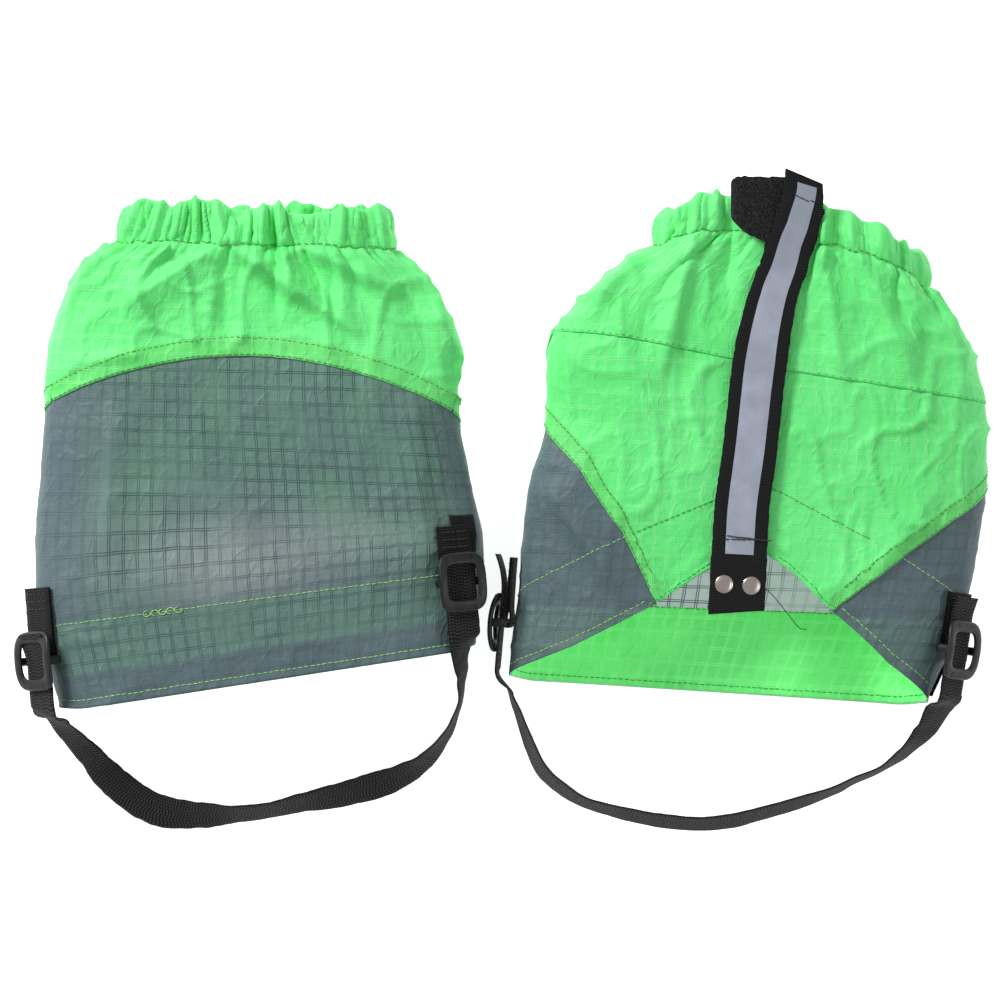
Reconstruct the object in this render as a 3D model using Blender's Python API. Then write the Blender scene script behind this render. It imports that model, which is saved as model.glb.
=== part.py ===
"""A pair of short hiking gaiters lying flat: the left one face down, the right one face up.

All lengths are in metres and all angles in degrees. Each gaiter is a flattened tube of cloth.
A place on it is told by two numbers: up, 0 at the hem and 1 at the top of the cuff, and around,
0 at the front, 0.5 at the wearer's one side, 1 at the back, 1.5 at the other side, 2 at the front.
"""

from math import copysign, cos, pi, radians, sin, sqrt

import bmesh
import bpy
from mathutils import Matrix, Vector

HALF_HEIGHT = 0.020  # half the height of a gaiter that lies flat
SECTION_POWER = 0.77  # roundness of the two long edges of the flattened tube
FLAT_SHARE = 1.15  # above 1 this leaves the middle of the front and back truly flat
CLOTH = 0.0006
FACING_CLOTH = 0.0005
GAP = 0.0003
SEAM_GAP = 0.0006
SIDE_GAP = 0.0008  # under the side webbings, which follow the curved edge of the tube
LENGTH = 0.220  # along the middle, from the hem to the top of the cuff

CUFF_START = 0.912  # the gathered casing goes from here to the top
CUFF_DEPTH = 0.0030
ELASTIC_THICK = 0.0012
FACING_UP = 0.18  # height of the hem facing, as a share of the length
PANEL_POINT = 0.20  # how near to the front the grey panel reaches
YOKE_SEAM = 0.68  # height of the front seam under the yoke

STRAP_WIDTH = 0.016
STRAP_THICK = 0.0012
FLAP_WIDTH = 0.025
FLAP_THICK = 0.0012
TAPE_THICK = 0.0010
TAPE_WIDTH = 0.020
REFLECTOR_WIDTH = 0.013
REFLECTOR_THICK = 0.0003
LOOP_TAPE_AT = CLOTH + GAP
HOOK_TAPE_AT = LOOP_TAPE_AT + TAPE_THICK + GAP
FLAP_AT = HOOK_TAPE_AT + TAPE_THICK + GAP
REFLECTOR_AT = FLAP_AT + FLAP_THICK + GAP
TAB_LENGTH = 0.026
RIVET_RADIUS = 0.0044
RIVET_POST_RADIUS = 0.0016
RIVET_PITCH = 0.0127
RIVET_DOME = 0.0014
HOOK_PLATE = 0.0010

BUCKLE_HALF_WIDTH = 0.0104
BUCKLE_HALF_LENGTH = 0.0137
WINDOW_HALF_WIDTH = 0.0085
WINDOW_HALF_LENGTH = 0.0098
BUCKLE_ARCH = 0.0022
BAR_RADIUS = 0.0009
BAR_DEPTH = 0.0031  # the middle bar lies this far behind the strap
LOOP_THICK = 0.0010

# Rows of a gaiter's stations: up, x, y, half width, tilt of the row in degrees.
LEFT_STATIONS = (
    (0.0, 0.0, 0.0, 0.0975, 8.7),
    (0.215, -0.0033, 0.0472, 0.1045, 6.6),
    (0.405, -0.0049, 0.0892, 0.1008, -1.4),
    (0.6, -0.0073, 0.1317, 0.0951, -1.4),
    (0.74, -0.0069, 0.1623, 0.0933, -1.4),
    (0.86, -0.0066, 0.1893, 0.0802, -1.7),
    (0.912, -0.0054, 0.2006, 0.0659, -1.2),
    (1.0, -0.0042, 0.22, 0.0624, -0.9),
)
RIGHT_STATIONS = (
    (0.0, 0.0, 0.0, 0.0975, -3.7),
    (0.19, 0.0118, 0.0415, 0.1045, -2.0),
    (0.405, 0.0181, 0.0887, 0.1065, -2.0),
    (0.556, 0.0236, 0.1218, 0.1031, -3.0),
    (0.728, 0.0221, 0.1595, 0.0994, -4.0),
    (0.83, 0.0248, 0.182, 0.0847, -4.0),
    (0.9, 0.0342, 0.1975, 0.0664, -9.2),
    (1.0, 0.0342, 0.219, 0.0597, -8.7),
)

# Arched front edge of the hem: distance from the front, height.
ARCH = ((0.0, 0.31), (0.08, 0.26), (0.18, 0.178), (0.34, 0.075), (0.47, 0.012), (0.5, 0.0))
# Where the front opening runs: height, around.
SLIT = ((0.2, 0.024), (0.62, 0.035), (0.77, 0.062), (1.0, 0.07))
# Middle of the closing flap, seen facing the front: height, offset to the right of the middle.
FLAP_LINE = ((0.25, -0.0038), (0.62, -0.001), (0.77, 0.0046), (0.9, 0.002), (1.03, 0.0022))
LOOP_TAPE_LINE = ((0.33, -0.006), (0.62, -0.0035), (0.77, -0.0005), (0.9, -0.009), (1.0, -0.014))
LINES = (0.0, 0.12, 0.2, 0.26, 0.293, 0.33, 0.365, 0.395, 0.425, 0.455, 0.48, 0.5)
AROUND = sorted({round(turn + sign * line, 3) for turn in (0, 1, 2) for sign in (1, -1) for line in LINES})

# Points of the loose strap below the two buckles, from the gaiter's own left of the picture to its
# right: x, y, height of its middle, and lean of its face (0 stands on edge, 90 lies flat).
LEFT_STRAP = (
    (-0.1035, -0.028, 0.024, 28),
    (-0.0915, -0.0385, 0.016, 35),
    (-0.0745, -0.0515, 0.009, 50),
    (-0.0562, -0.0642, 0.006, 60),
    (-0.0326, -0.067, 0.006, 55),
    (-0.009, -0.0656, 0.0075, 40),
    (0.0146, -0.0609, 0.008, 35),
    (0.0477, -0.05, 0.008, 32),
    (0.0713, -0.0359, 0.0085, 28),
    (0.0854, -0.017, 0.016, 30),
    (0.0925, 0.0019, 0.030, 50),
)
RIGHT_STRAP = (
    (-0.1005, -0.0045, 0.018, 8),
    (-0.0928, -0.0198, 0.012, 15),
    (-0.081, -0.0387, 0.0085, 28),
    (-0.0597, -0.0529, 0.008, 35),
    (-0.0361, -0.0599, 0.008, 35),
    (-0.0078, -0.0632, 0.008, 35),
    (0.0205, -0.0614, 0.0078, 38),
    (0.0489, -0.0519, 0.007, 45),
    (0.0772, -0.0364, 0.007, 52),
    (0.0971, -0.0222, 0.013, 52),
    (0.1118, -0.0113, 0.022, 48),
)

GREEN = ("green_ripstop", (0.07, 0.87, 0.11, 1.0), 0.55, 0.0)
GREY = ("grey_ripstop", (0.09, 0.13, 0.17, 1.0), 0.6, 0.0)
ELASTIC = ("white_elastic", (0.75, 0.75, 0.75, 1.0), 0.8, 0.0)
WEBBING = ("black_webbing", (0.015, 0.015, 0.016, 1.0), 0.85, 0.0)
TAPE = ("black_hook_tape", (0.01, 0.01, 0.01, 1.0), 0.95, 0.0)
REFLECTOR = ("reflective_tape", (0.33, 0.34, 0.45, 1.0), 0.35, 0.3)
NICKEL = ("nickel", (0.62, 0.56, 0.54, 1.0), 0.2, 1.0)
PLASTIC = ("black_acetal", (0.02, 0.02, 0.022, 1.0), 0.45, 0.0)

for old in list(bpy.data.objects):
    bpy.data.objects.remove(old)


def material(kind):
    name, colour, roughness, metallic = kind
    found = bpy.data.materials.get(name)
    if found:
        return found
    made = bpy.data.materials.new(name)
    made.use_nodes = True
    made.diffuse_color = colour
    shader = made.node_tree.nodes["Principled BSDF"]
    shader.inputs["Base Color"].default_value = colour
    shader.inputs["Roughness"].default_value = roughness
    shader.inputs["Metallic"].default_value = metallic
    return made


def straight(table, at):
    """Value at a place in a table of (place, value) pairs, by straight lines."""
    if at <= table[0][0]:
        return table[0][1]
    for (low, first), (high, second) in zip(table, table[1:]):
        if at <= high:
            return first + (second - first) * (at - low) / (high - low)
    return table[-1][1]


def slope(table, index, column):
    before = table[max(index - 1, 0)]
    after = table[min(index + 1, len(table) - 1)]
    return (after[column] - before[column]) / (after[0] - before[0])


def smooth(table, at):
    """Values at a place in a table of rows that start with the place, by a smooth curve."""
    at = min(max(at, table[0][0]), table[-1][0])
    index = 0
    while index < len(table) - 2 and at > table[index + 1][0]:
        index += 1
    low, high = table[index], table[index + 1]
    span = high[0] - low[0]
    t = (at - low[0]) / span
    values = []
    for column in range(1, len(low)):
        first = slope(table, index, column) * span
        second = slope(table, index + 1, column) * span
        value = (2 * t**3 - 3 * t**2 + 1) * low[column] + (3 * t**2 - 2 * t**3) * high[column]
        value += (t**3 - 2 * t**2 + t) * first + (t**3 - t**2) * second
        values.append(value)
    return values


def section(half_width, turn):
    """Across and depth of the flattened tube at an angle from the middle of its front."""
    across = half_width * copysign(abs(sin(turn)) ** SECTION_POWER, sin(turn))
    depth = min(1.0, FLAT_SHARE * abs(cos(turn)) ** SECTION_POWER)
    return across, HALF_HEIGHT * copysign(depth, cos(turn))


def quarter_turns():
    """Angle against the length of cloth, for a quarter of a middling section."""
    steps = 200
    rows = [(0.0, 0.0)]
    length = 0.0
    for step in range(1, steps + 1):
        first = section(0.1, pi / 2 * (step - 1) / steps)
        second = section(0.1, pi / 2 * step / steps)
        length += sqrt((first[0] - second[0]) ** 2 + (first[1] - second[1]) ** 2)
        rows.append((length, pi / 2 * step / steps))
    return [(0.5 * row[0] / length, row[1]) for row in rows]


QUARTER = quarter_turns()


def turn_of(around):
    around = around % 2.0
    if around > 1.0:
        return -turn_of(2.0 - around)
    if around > 0.5:
        return pi - turn_of(1.0 - around)
    return straight(QUARTER, around)


class Gaiter:
    def __init__(self, name, x, y, height, facing, stations, strap, legs, heading):
        self.name = name
        self.x = x
        self.y = y
        self.height = height
        self.facing = facing
        self.stations = stations
        self.strap = strap
        self.legs = legs
        angle = radians(heading)
        self.down = Vector((sin(angle), -cos(angle), 0.0))

    def row(self, up):
        x, y, half_width, tilt = smooth(self.stations, up)
        if up > 1.0:
            y += (up - 1.0) * LENGTH
        right = Vector((cos(radians(tilt)), sin(radians(tilt)), 0.0)) * self.facing
        return Vector((self.x + x, self.y + y, self.height)), right, half_width

    def skin(self, up, around):
        middle, right, half_width = self.row(up)
        across, depth = section(half_width, turn_of(around))
        return middle + across * right + Vector((0.0, 0.0, depth * self.facing))

    def cloth(self, up, around, out):
        """A point of the tube, moved out of its surface."""
        step = 0.004
        here = self.skin(up, around)
        along = self.skin(up + step, around) - self.skin(up - step, around)
        across = self.skin(up, around + step) - self.skin(up, around - step)
        normal = along.cross(across).normalized()
        if normal.dot(here - self.row(up)[0]) < 0:
            normal.negate()
        return here + out * normal

    def front(self, up, across, out):
        """A point over the flat front: across is the offset from its middle."""
        middle, right, _ = self.row(up)
        return middle + across * right + Vector((0.0, 0.0, (HALF_HEIGHT + out) * self.facing))


def node(name, points, faces, kind, pivot):
    """One closed body, its origin on the pivot that carries it."""
    mesh = bpy.data.meshes.new(name)
    origin = pivot.location if pivot else Vector()
    mesh.from_pydata([point - origin for point in points], [], faces)
    made = bpy.data.objects.new(name, mesh)
    bpy.context.scene.collection.objects.link(made)
    made.parent = pivot
    mesh.materials.append(material(kind))
    shape = bmesh.new()
    shape.from_mesh(mesh)
    bmesh.ops.recalc_face_normals(shape, faces=shape.faces)
    shape.to_mesh(mesh)
    shape.free()
    return made


def loft(rings, closed=False):
    """Faces that join equal rings of points in a row, with a cap at each end unless closed."""
    count = len(rings[0])
    faces = []
    for start in range(len(rings) - (0 if closed else 1)):
        after = (start + 1) % len(rings)
        for index in range(count):
            nearby = (index + 1) % count
            faces.append((start * count + index, start * count + nearby, after * count + nearby, after * count + index))
    if not closed:
        faces.append(tuple(range(count)))
        faces.append(tuple(range((len(rings) - 1) * count, len(rings) * count)))
    return [point for ring in rings for point in ring], faces


def sheet(upper, lower):
    """Faces of a thin body between two equal grids of points."""
    rows = len(upper)
    columns = len(upper[0])
    points = [point for row in upper for point in row] + [point for row in lower for point in row]
    other = rows * columns
    faces = []
    for row in range(rows - 1):
        for column in range(columns - 1):
            a = row * columns + column
            quad = (a, a + 1, a + columns + 1, a + columns)
            faces.append(quad)
            faces.append(tuple(other + index for index in quad[::-1]))
    edge = [column for column in range(columns)]
    edge += [row * columns + columns - 1 for row in range(1, rows)]
    edge += [(rows - 1) * columns + column for column in range(columns - 2, -1, -1)]
    edge += [row * columns for row in range(rows - 2, 0, -1)]
    for first, second in zip(edge, edge[1:] + edge[:1]):
        faces.append((first, other + first, other + second, second))
    return points, faces


def panel(name, gaiter, ends, low, high, rows, inner, outer, kind):
    """A piece of cloth: ends, low and high give its four edges as functions."""
    start, end = ends
    lines = [line for line in AROUND if start(0.5) + 0.012 < line < end(0.5) - 0.012]
    grids = []
    for out in (outer, inner):
        grid = []
        for row in range(rows + 1):
            share = row / rows
            points = []
            for around in [start(0.5)] + lines + [end(0.5)]:
                up = low(around) + (high(around) - low(around)) * share
                if around == start(0.5):
                    around = start(up)
                elif around == end(0.5):
                    around = end(up)
                points.append(gaiter.cloth(up, around, out))
            grid.append(points)
        grids.append(grid)
    points, faces = sheet(*grids)
    return node(f"{gaiter.name}_{name}", points, faces, kind, None)


def ribbon(points, tangents, normals, width, thick):
    """Faces of a flat band that follows points, its face along the normals."""
    rings = []
    for point, tangent, normal in zip(points, tangents, normals):
        side = tangent.cross(normal).normalized() * width / 2
        face = side.cross(tangent).normalized() * thick / 2
        rings.append([point + side + face, point - side + face, point - side - face, point + side - face])
    return loft(rings)


def strip(gaiter, name, line, width, start, thick, kind, pivot, first, last):
    """A flat band over the front, from the height first to last along a line of offsets."""
    ups = [first] + [up for up, _ in line if first < up < last] + [last]
    middles = [gaiter.front(up, straight(line, up), start + thick / 2) for up in ups]
    tangents = []
    for index in range(len(middles)):
        before = middles[max(index - 1, 0)]
        after = middles[min(index + 1, len(middles) - 1)]
        tangents.append((after - before).normalized())
    normals = [Vector((0.0, 0.0, float(gaiter.facing)))] * len(middles)
    points, faces = ribbon(middles, tangents, normals, width, thick)
    return node(f"{gaiter.name}_{name}", points, faces, kind, pivot)


def from_front(around):
    around = around % 2.0
    return min(around, 2.0 - around)


def hem(around):
    return straight(ARCH, from_front(around))


def grey_seam(around):
    """Height of the seam between the green and the grey cloth."""
    near = from_front(around)
    if near < 0.19:
        return 0.18
    if near < 0.5:
        return 0.18 + 0.36 * ((near - 0.19) / 0.31) ** 0.8
    return 0.54 + 0.14 * sin(pi / 2 * (near - 0.5) / 0.5) ** 0.8


def yoke_seam(around):
    near = from_front(around)
    if near < 0.5:
        return YOKE_SEAM
    share = min((near - 0.5) / 0.045, 1.0)
    return YOKE_SEAM + (grey_seam(0.545) - YOKE_SEAM) * share if near < 0.545 else grey_seam(near)


def slit(up):
    return straight(SLIT, up)


def shift(function, by):
    return lambda at: function(at) + by


def fixed(value):
    return lambda at: value


def cuff(gaiter):
    """The gathered casing: a flat tunnel of cloth, open at the front slit, with elastic in it."""
    gap = 0.005
    start, end = slit(0.95) + gap, 2.0 + slit(0.95) - gap
    lines = [start] + [line for line in AROUND if start + 0.012 < line < end - 0.012] + [end]
    low, high = CUFF_START + 0.0015, 1.0
    rise = CLOTH / LENGTH
    rings = []
    for around in lines:
        outer = [(low, CLOTH), (high, CLOTH), (high, -CUFF_DEPTH), (low, -CUFF_DEPTH)]
        inner = [
            (low + rise, 0.0),
            (high - rise, 0.0),
            (high - rise, CLOTH - CUFF_DEPTH),
            (low + rise, CLOTH - CUFF_DEPTH),
        ]
        rings.append([gaiter.cloth(up, around, out) for up, out in outer + inner])
    points = [point for ring in rings for point in ring]
    faces = []
    for index in range(len(lines) - 1):
        a, b = index * 8, index * 8 + 8
        for corner in range(4):
            nearby = (corner + 1) % 4
            faces.append((a + corner, a + nearby, b + nearby, b + corner))
            faces.append((a + 4 + nearby, a + 4 + corner, b + 4 + corner, b + 4 + nearby))
    for base in (0, (len(lines) - 1) * 8):
        for corner in range(4):
            nearby = (corner + 1) % 4
            faces.append((base + corner, base + nearby, base + 4 + nearby, base + 4 + corner))
    node(f"{gaiter.name}_cuff_casing", points, faces, GREEN, None)
    middle = (CLOTH - CUFF_DEPTH) / 2
    panel(
        "cuff_elastic",
        gaiter,
        (fixed(start + 0.002), fixed(end - 0.002)),
        fixed(low + 0.010),
        fixed(high - 0.010),
        1,
        middle - ELASTIC_THICK / 2,
        middle + ELASTIC_THICK / 2,
        ELASTIC,
    )


def shell(gaiter):
    """The cloth pieces of one gaiter."""
    edge = SEAM_GAP / LENGTH / 2
    side = 0.0018
    slit_right = shift(slit, side)
    slit_left = shift(slit, 2.0 - side)
    ring = (slit_right, slit_left)
    panel("yoke", gaiter, ring, shift(yoke_seam, edge), fixed(CUFF_START - edge), 5, 0.0, CLOTH, GREEN)
    back = (fixed(PANEL_POINT), fixed(2.0 - PANEL_POINT))
    panel("back_panel", gaiter, back, hem, shift(grey_seam, -edge), 9, 0.0, CLOTH, GREY)

    def front_low(around):
        return hem(around) if from_front(around) < 0.19 else grey_seam(around) + edge

    right = (slit_right, fixed(0.54))
    left = (fixed(1.46), slit_left)
    top = shift(yoke_seam, -edge)
    panel("front_panel_right", gaiter, right, front_low, top, 6, 0.0, CLOTH, GREEN)
    panel("front_panel_left", gaiter, left, front_low, top, 6, 0.0, CLOTH, GREEN)
    inner = -GAP - FACING_CLOTH - 0.0002
    outer = -GAP - 0.0002
    low = shift(hem, 0.004)
    high = shift(hem, FACING_UP)
    panel("hem_facing", gaiter, (fixed(0.502), fixed(1.498)), low, high, 3, inner, outer, GREEN)
    panel("front_facing_right", gaiter, (slit_right, fixed(0.498)), low, high, 3, inner, outer, GREEN)
    panel("front_facing_left", gaiter, (fixed(1.502), slit_left), low, high, 3, inner, outer, GREEN)
    binding = (shift(slit, 0.004), shift(slit, 0.034))
    panel("slit_binding", gaiter, binding, fixed(0.52), fixed(0.9), 4, inner, outer, WEBBING)
    cuff(gaiter)


def pivot(name, at):
    made = bpy.data.objects.new(name, None)
    bpy.context.scene.collection.objects.link(made)
    made.empty_display_size = 0.01
    made.location = at
    return made


def lathe(name, profile, centre, facing, kind, carrier):
    """A round body from (radius, height) pairs, with its axis upright."""
    steps = 20
    rings = []
    for radius, height in profile:
        rings.append(
            [
                centre + Vector((radius * cos(2 * pi * i / steps), radius * sin(2 * pi * i / steps), height * facing))
                for i in range(steps)
            ]
        )
    points, faces = loft(rings)
    made = node(name, points, faces, kind, carrier)
    for face in made.data.polygons:
        face.use_smooth = len(face.vertices) == 4
    return made


def cut(made, cutter):
    cutter.hide_render = True
    cutter.display_type = "WIRE"
    modifier = made.modifiers.new("hole", "BOOLEAN")
    modifier.operation = "DIFFERENCE"
    modifier.solver = "EXACT"
    modifier.object = cutter


def bent_strip(name, frame, path, width, thick, kind, carrier):
    """A strip bent in its own y-z plane, placed by a frame."""
    points = [frame @ Vector((0.0, y, z)) for y, z in path]
    turn = frame.to_3x3()
    tangents = []
    normals = []
    for index in range(len(path)):
        before = path[max(index - 1, 0)]
        after = path[min(index + 1, len(path) - 1)]
        tangent = Vector((0.0, after[0] - before[0], after[1] - before[1])).normalized()
        tangents.append(turn @ tangent)
        normals.append(turn @ Vector((0.0, -tangent.z, tangent.y)))
    points, faces = ribbon(points, tangents, normals, width, thick)
    return node(name, points, faces, kind, carrier)


def closure(gaiter):
    """The front flap with its hook-and-loop tapes, and the riveted tab with the lace hook."""
    name = gaiter.name
    facing = gaiter.facing
    first, last = 0.285, 1.035
    strip(gaiter, "loop_tape", LOOP_TAPE_LINE, TAPE_WIDTH, LOOP_TAPE_AT, TAPE_THICK, TAPE, None, 0.33, 1.0)
    # The hinge line touches the flap's outer edge twice, so the whole flap is on one side of it.
    edge = []
    for step in range(13):
        up = first + (last - first) * step / 12
        edge.append(gaiter.front(up, straight(FLAP_LINE, up) + FLAP_WIDTH / 2 + 0.0006, FLAP_AT))
    low = edge[0]
    high = max(edge[1:], key=lambda point: (point.x - low.x) * facing / (point.y - low.y))
    hinge = pivot(f"{name}_closure_hinge", low)
    strip(gaiter, "hook_tape", FLAP_LINE, TAPE_WIDTH, HOOK_TAPE_AT, TAPE_THICK, TAPE, hinge, 0.34, 1.0)
    strip(gaiter, "closure_flap", FLAP_LINE, FLAP_WIDTH, FLAP_AT, FLAP_THICK, WEBBING, hinge, first, last)
    strip(
        gaiter, "reflective_tape", FLAP_LINE, REFLECTOR_WIDTH, REFLECTOR_AT, REFLECTOR_THICK, REFLECTOR, hinge,
        first + 0.002, last - 0.008,
    )
    # The tab hangs on from the lower end of the flap, along the same line.
    end = gaiter.front(first, straight(FLAP_LINE, first), FLAP_AT + FLAP_THICK / 2)
    above = gaiter.front(first + 0.1, straight(FLAP_LINE, first + 0.1), FLAP_AT + FLAP_THICK / 2)
    upward = (above - end).normalized()
    outward = Vector((0.0, 0.0, float(facing)))
    across = upward.cross(outward)
    top = end - upward * 0.0006
    frame = Matrix((across, upward, outward)).transposed().to_4x4()
    frame.translation = top
    bend = pivot(f"{name}_tab_bend", top)
    tab = bent_strip(
        f"{name}_hook_tab", frame, ((0.0, 0.0), (-TAB_LENGTH, 0.0)), FLAP_WIDTH, FLAP_THICK, WEBBING, bend
    )
    plate_z = -FLAP_THICK / 2 - GAP - HOOK_PLATE / 2
    path = [(-0.006, plate_z), (-0.0235, plate_z), (-0.0255, plate_z - 0.0006), (-0.0266, plate_z - 0.0022)]
    path += [(-0.0262, plate_z - 0.0042), (-0.0245, plate_z - 0.0056), (-0.0215, plate_z - 0.0060)]
    path += [(-0.0165, plate_z - 0.0056)]
    hook = bent_strip(f"{name}_lace_hook", frame, path, 0.018, HOOK_PLATE, NICKEL, bend)
    for number, side in ((1, -0.5), (2, 0.5)):
        centre = frame @ Vector((side * RIVET_PITCH, -0.0125, 0.0))
        cap_at = FLAP_THICK / 2 + 0.0001
        recess = RIVET_POST_RADIUS + 0.0002
        cap = [
            (recess, cap_at),
            (RIVET_RADIUS, cap_at),
            (RIVET_RADIUS, cap_at + 0.0005),
            (RIVET_RADIUS * 0.8, cap_at + 0.0010),
            (RIVET_RADIUS * 0.45, cap_at + RIVET_DOME),
            (0.0003, cap_at + RIVET_DOME + 0.0001),
            (0.0003, cap_at + 0.0008),
            (recess, cap_at + 0.0008),
        ]
        rings = []
        for radius, height in cap:
            rings.append(
                [
                    centre + Vector((radius * cos(pi * i / 10), radius * sin(pi * i / 10), height * facing))
                    for i in range(20)
                ]
            )
        points, faces = loft(rings, closed=True)
        lid = node(f"{name}_rivet_cap_{number}", points, faces, NICKEL, bend)
        head = plate_z - HOOK_PLATE / 2 - 0.0001
        post = (
            (0.0028, head - 0.0007),
            (0.0032, head - 0.0004),
            (0.0032, head),
            (RIVET_POST_RADIUS, head),
            (RIVET_POST_RADIUS, cap_at + 0.0006),
        )
        lathe(f"{name}_rivet_post_{number}", post, centre, facing, NICKEL, bend)
        for pierced in (tab, hook):
            hole = ((RIVET_POST_RADIUS + 0.0002, -0.0024), (RIVET_POST_RADIUS + 0.0002, 0.0012))
            cutter = lathe(f"{pierced.name}_hole_{number}", hole, centre, facing, NICKEL, bend)
            cut(pierced, cutter)
    bend.parent = hinge
    bend.location = top - low
    return low, high, top, across


def superellipse(half_width, half_length, power, steps):
    outline = []
    for step in range(steps):
        turn = 2 * pi * step / steps
        x = half_width * copysign(abs(cos(turn)) ** (2 / power), cos(turn))
        y = half_length * copysign(abs(sin(turn)) ** (2 / power), sin(turn))
        outline.append((x, y))
    return outline


def box(name, low, high, frame, kind, carrier):
    corners = [(x, y) for x, y in ((low[0], low[1]), (high[0], low[1]), (high[0], high[1]), (low[0], high[1]))]
    rings = [[frame @ Vector((x, y, z)) for x, y in corners] for z in (low[2], high[2])]
    points, faces = loft(rings)
    return node(name, points, faces, kind, carrier)


def join(made, other):
    other.hide_render = True
    other.display_type = "WIRE"
    modifier = made.modifiers.new("join", "BOOLEAN")
    modifier.operation = "UNION"
    modifier.solver = "EXACT"
    modifier.object = other


def buckle(name, frame, carrier):
    """A slider: an arched ring over the strap, and a middle bar behind the strap."""
    steps = 36
    outer = superellipse(BUCKLE_HALF_WIDTH, BUCKLE_HALF_LENGTH, 5, steps)
    window = superellipse(WINDOW_HALF_WIDTH, WINDOW_HALF_LENGTH, 6, steps)
    low, high = STRAP_THICK / 2 + GAP, STRAP_THICK / 2 + GAP + 0.0018
    rings = []
    for (x, y), (inner_x, inner_y) in zip(outer, window):
        ring = []
        for px, py, height in ((x, y, low), (x, y, high), (inner_x, inner_y, high), (inner_x, inner_y, low)):
            arch = BUCKLE_ARCH * (1 - (py / BUCKLE_HALF_LENGTH) ** 2)
            ring.append(frame @ Vector((px, py, height + arch)))
        rings.append(ring)
    points, faces = loft(rings, closed=True)
    made = node(name, points, faces, PLASTIC, carrier)
    foot = -BAR_DEPTH - BAR_RADIUS
    top = low + BUCKLE_ARCH + 0.0008
    for number, side in ((1, -1), (2, 1)):
        edges = sorted((side * (WINDOW_HALF_WIDTH + 0.0001), side * (BUCKLE_HALF_WIDTH - 0.0003)))
        leg = box(f"{name}_leg_{number}", (edges[0], -0.0022, foot), (edges[1], 0.0022, top), frame, PLASTIC, carrier)
        join(made, leg)
    reach = WINDOW_HALF_WIDTH + 0.0008
    rings = []
    for x in (-reach, reach):
        ring = []
        for step in range(12):
            turn = 2 * pi * step / 12
            ring.append(frame @ Vector((x, BAR_RADIUS * cos(turn), BAR_RADIUS * sin(turn) - BAR_DEPTH)))
        rings.append(ring)
    points, faces = loft(rings)
    bar = node(f"{name}_bar", points, faces, PLASTIC, carrier)
    join(made, bar)
    return made


def anchor(name, frame, reach, carrier):
    """Webbing folded round the middle bar; its two layers meet where it is sewn to the gaiter."""
    radius = BAR_RADIUS + GAP + LOOP_THICK / 2
    path = [(reach, -BAR_DEPTH + LOOP_THICK / 2 + 0.0002), (reach - 0.006, -BAR_DEPTH + LOOP_THICK / 2 + 0.0002)]
    path.append((0.004, -BAR_DEPTH + radius))
    for step in range(9):
        turn = pi / 2 + pi * step / 8
        path.append((radius * cos(turn), -BAR_DEPTH + radius * sin(turn)))
    path.append((0.004, -BAR_DEPTH - radius))
    path.append((reach - 0.006, -BAR_DEPTH - LOOP_THICK / 2 - 0.0002))
    path.append((reach, -BAR_DEPTH - LOOP_THICK / 2 - 0.0002))
    return bent_strip(name, frame, path, STRAP_WIDTH, LOOP_THICK, WEBBING, carrier)


def strap_path(gaiter):
    """Points, tangents and face normals of the instep strap, tail to tail."""
    down = gaiter.down
    legs = gaiter.legs
    ends = []
    for leg in legs:
        middle = Vector((gaiter.x + leg["x"], gaiter.y + leg["y"], leg["z"]))
        ends.append((middle - down * leg["tail"], middle + down * leg["straight"]))
    loose = [Vector((gaiter.x + x, gaiter.y + y, z)) for x, y, z, _ in gaiter.strap]
    leans = [lean for _, _, _, lean in gaiter.strap]
    knots = [ends[0][1]] + loose + [ends[1][1]]
    leans = [legs[0]["lean"]] + leans + [legs[1]["lean"]]
    points = [ends[0][0]]
    tangents = [down]
    lean_of = [legs[0]["lean"]]
    for index in range(len(knots) - 1):
        reach = (knots[index + 1] - knots[index]).length
        first = down * reach * 1.2 if index == 0 else (knots[index + 1] - knots[index - 1]) / 2
        if index == len(knots) - 2:
            second = -down * reach * 1.2
        else:
            second = (knots[index + 2] - knots[index]) / 2
        steps = 3
        for step in range(steps + (1 if index == len(knots) - 2 else 0)):
            t = step / steps
            point = (2 * t**3 - 3 * t**2 + 1) * knots[index] + (3 * t**2 - 2 * t**3) * knots[index + 1]
            point += (t**3 - 2 * t**2 + t) * first + (t**3 - t**2) * second
            slope_here = (6 * t**2 - 6 * t) * knots[index] + (6 * t - 6 * t**2) * knots[index + 1]
            slope_here += (3 * t**2 - 4 * t + 1) * first + (3 * t**2 - 2 * t) * second
            points.append(point)
            tangents.append(slope_here.normalized())
            lean_of.append(leans[index] + (leans[index + 1] - leans[index]) * t)
    points.append(ends[1][0])
    tangents.append(-down)
    lean_of.append(legs[1]["lean"])
    normals = []
    for tangent, lean in zip(tangents, lean_of):
        outside = Vector((tangent.y, -tangent.x, 0.0)).normalized()
        normals.append(outside * cos(radians(lean)) + Vector((0.0, 0.0, sin(radians(lean)))))
    return points, tangents, normals


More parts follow.
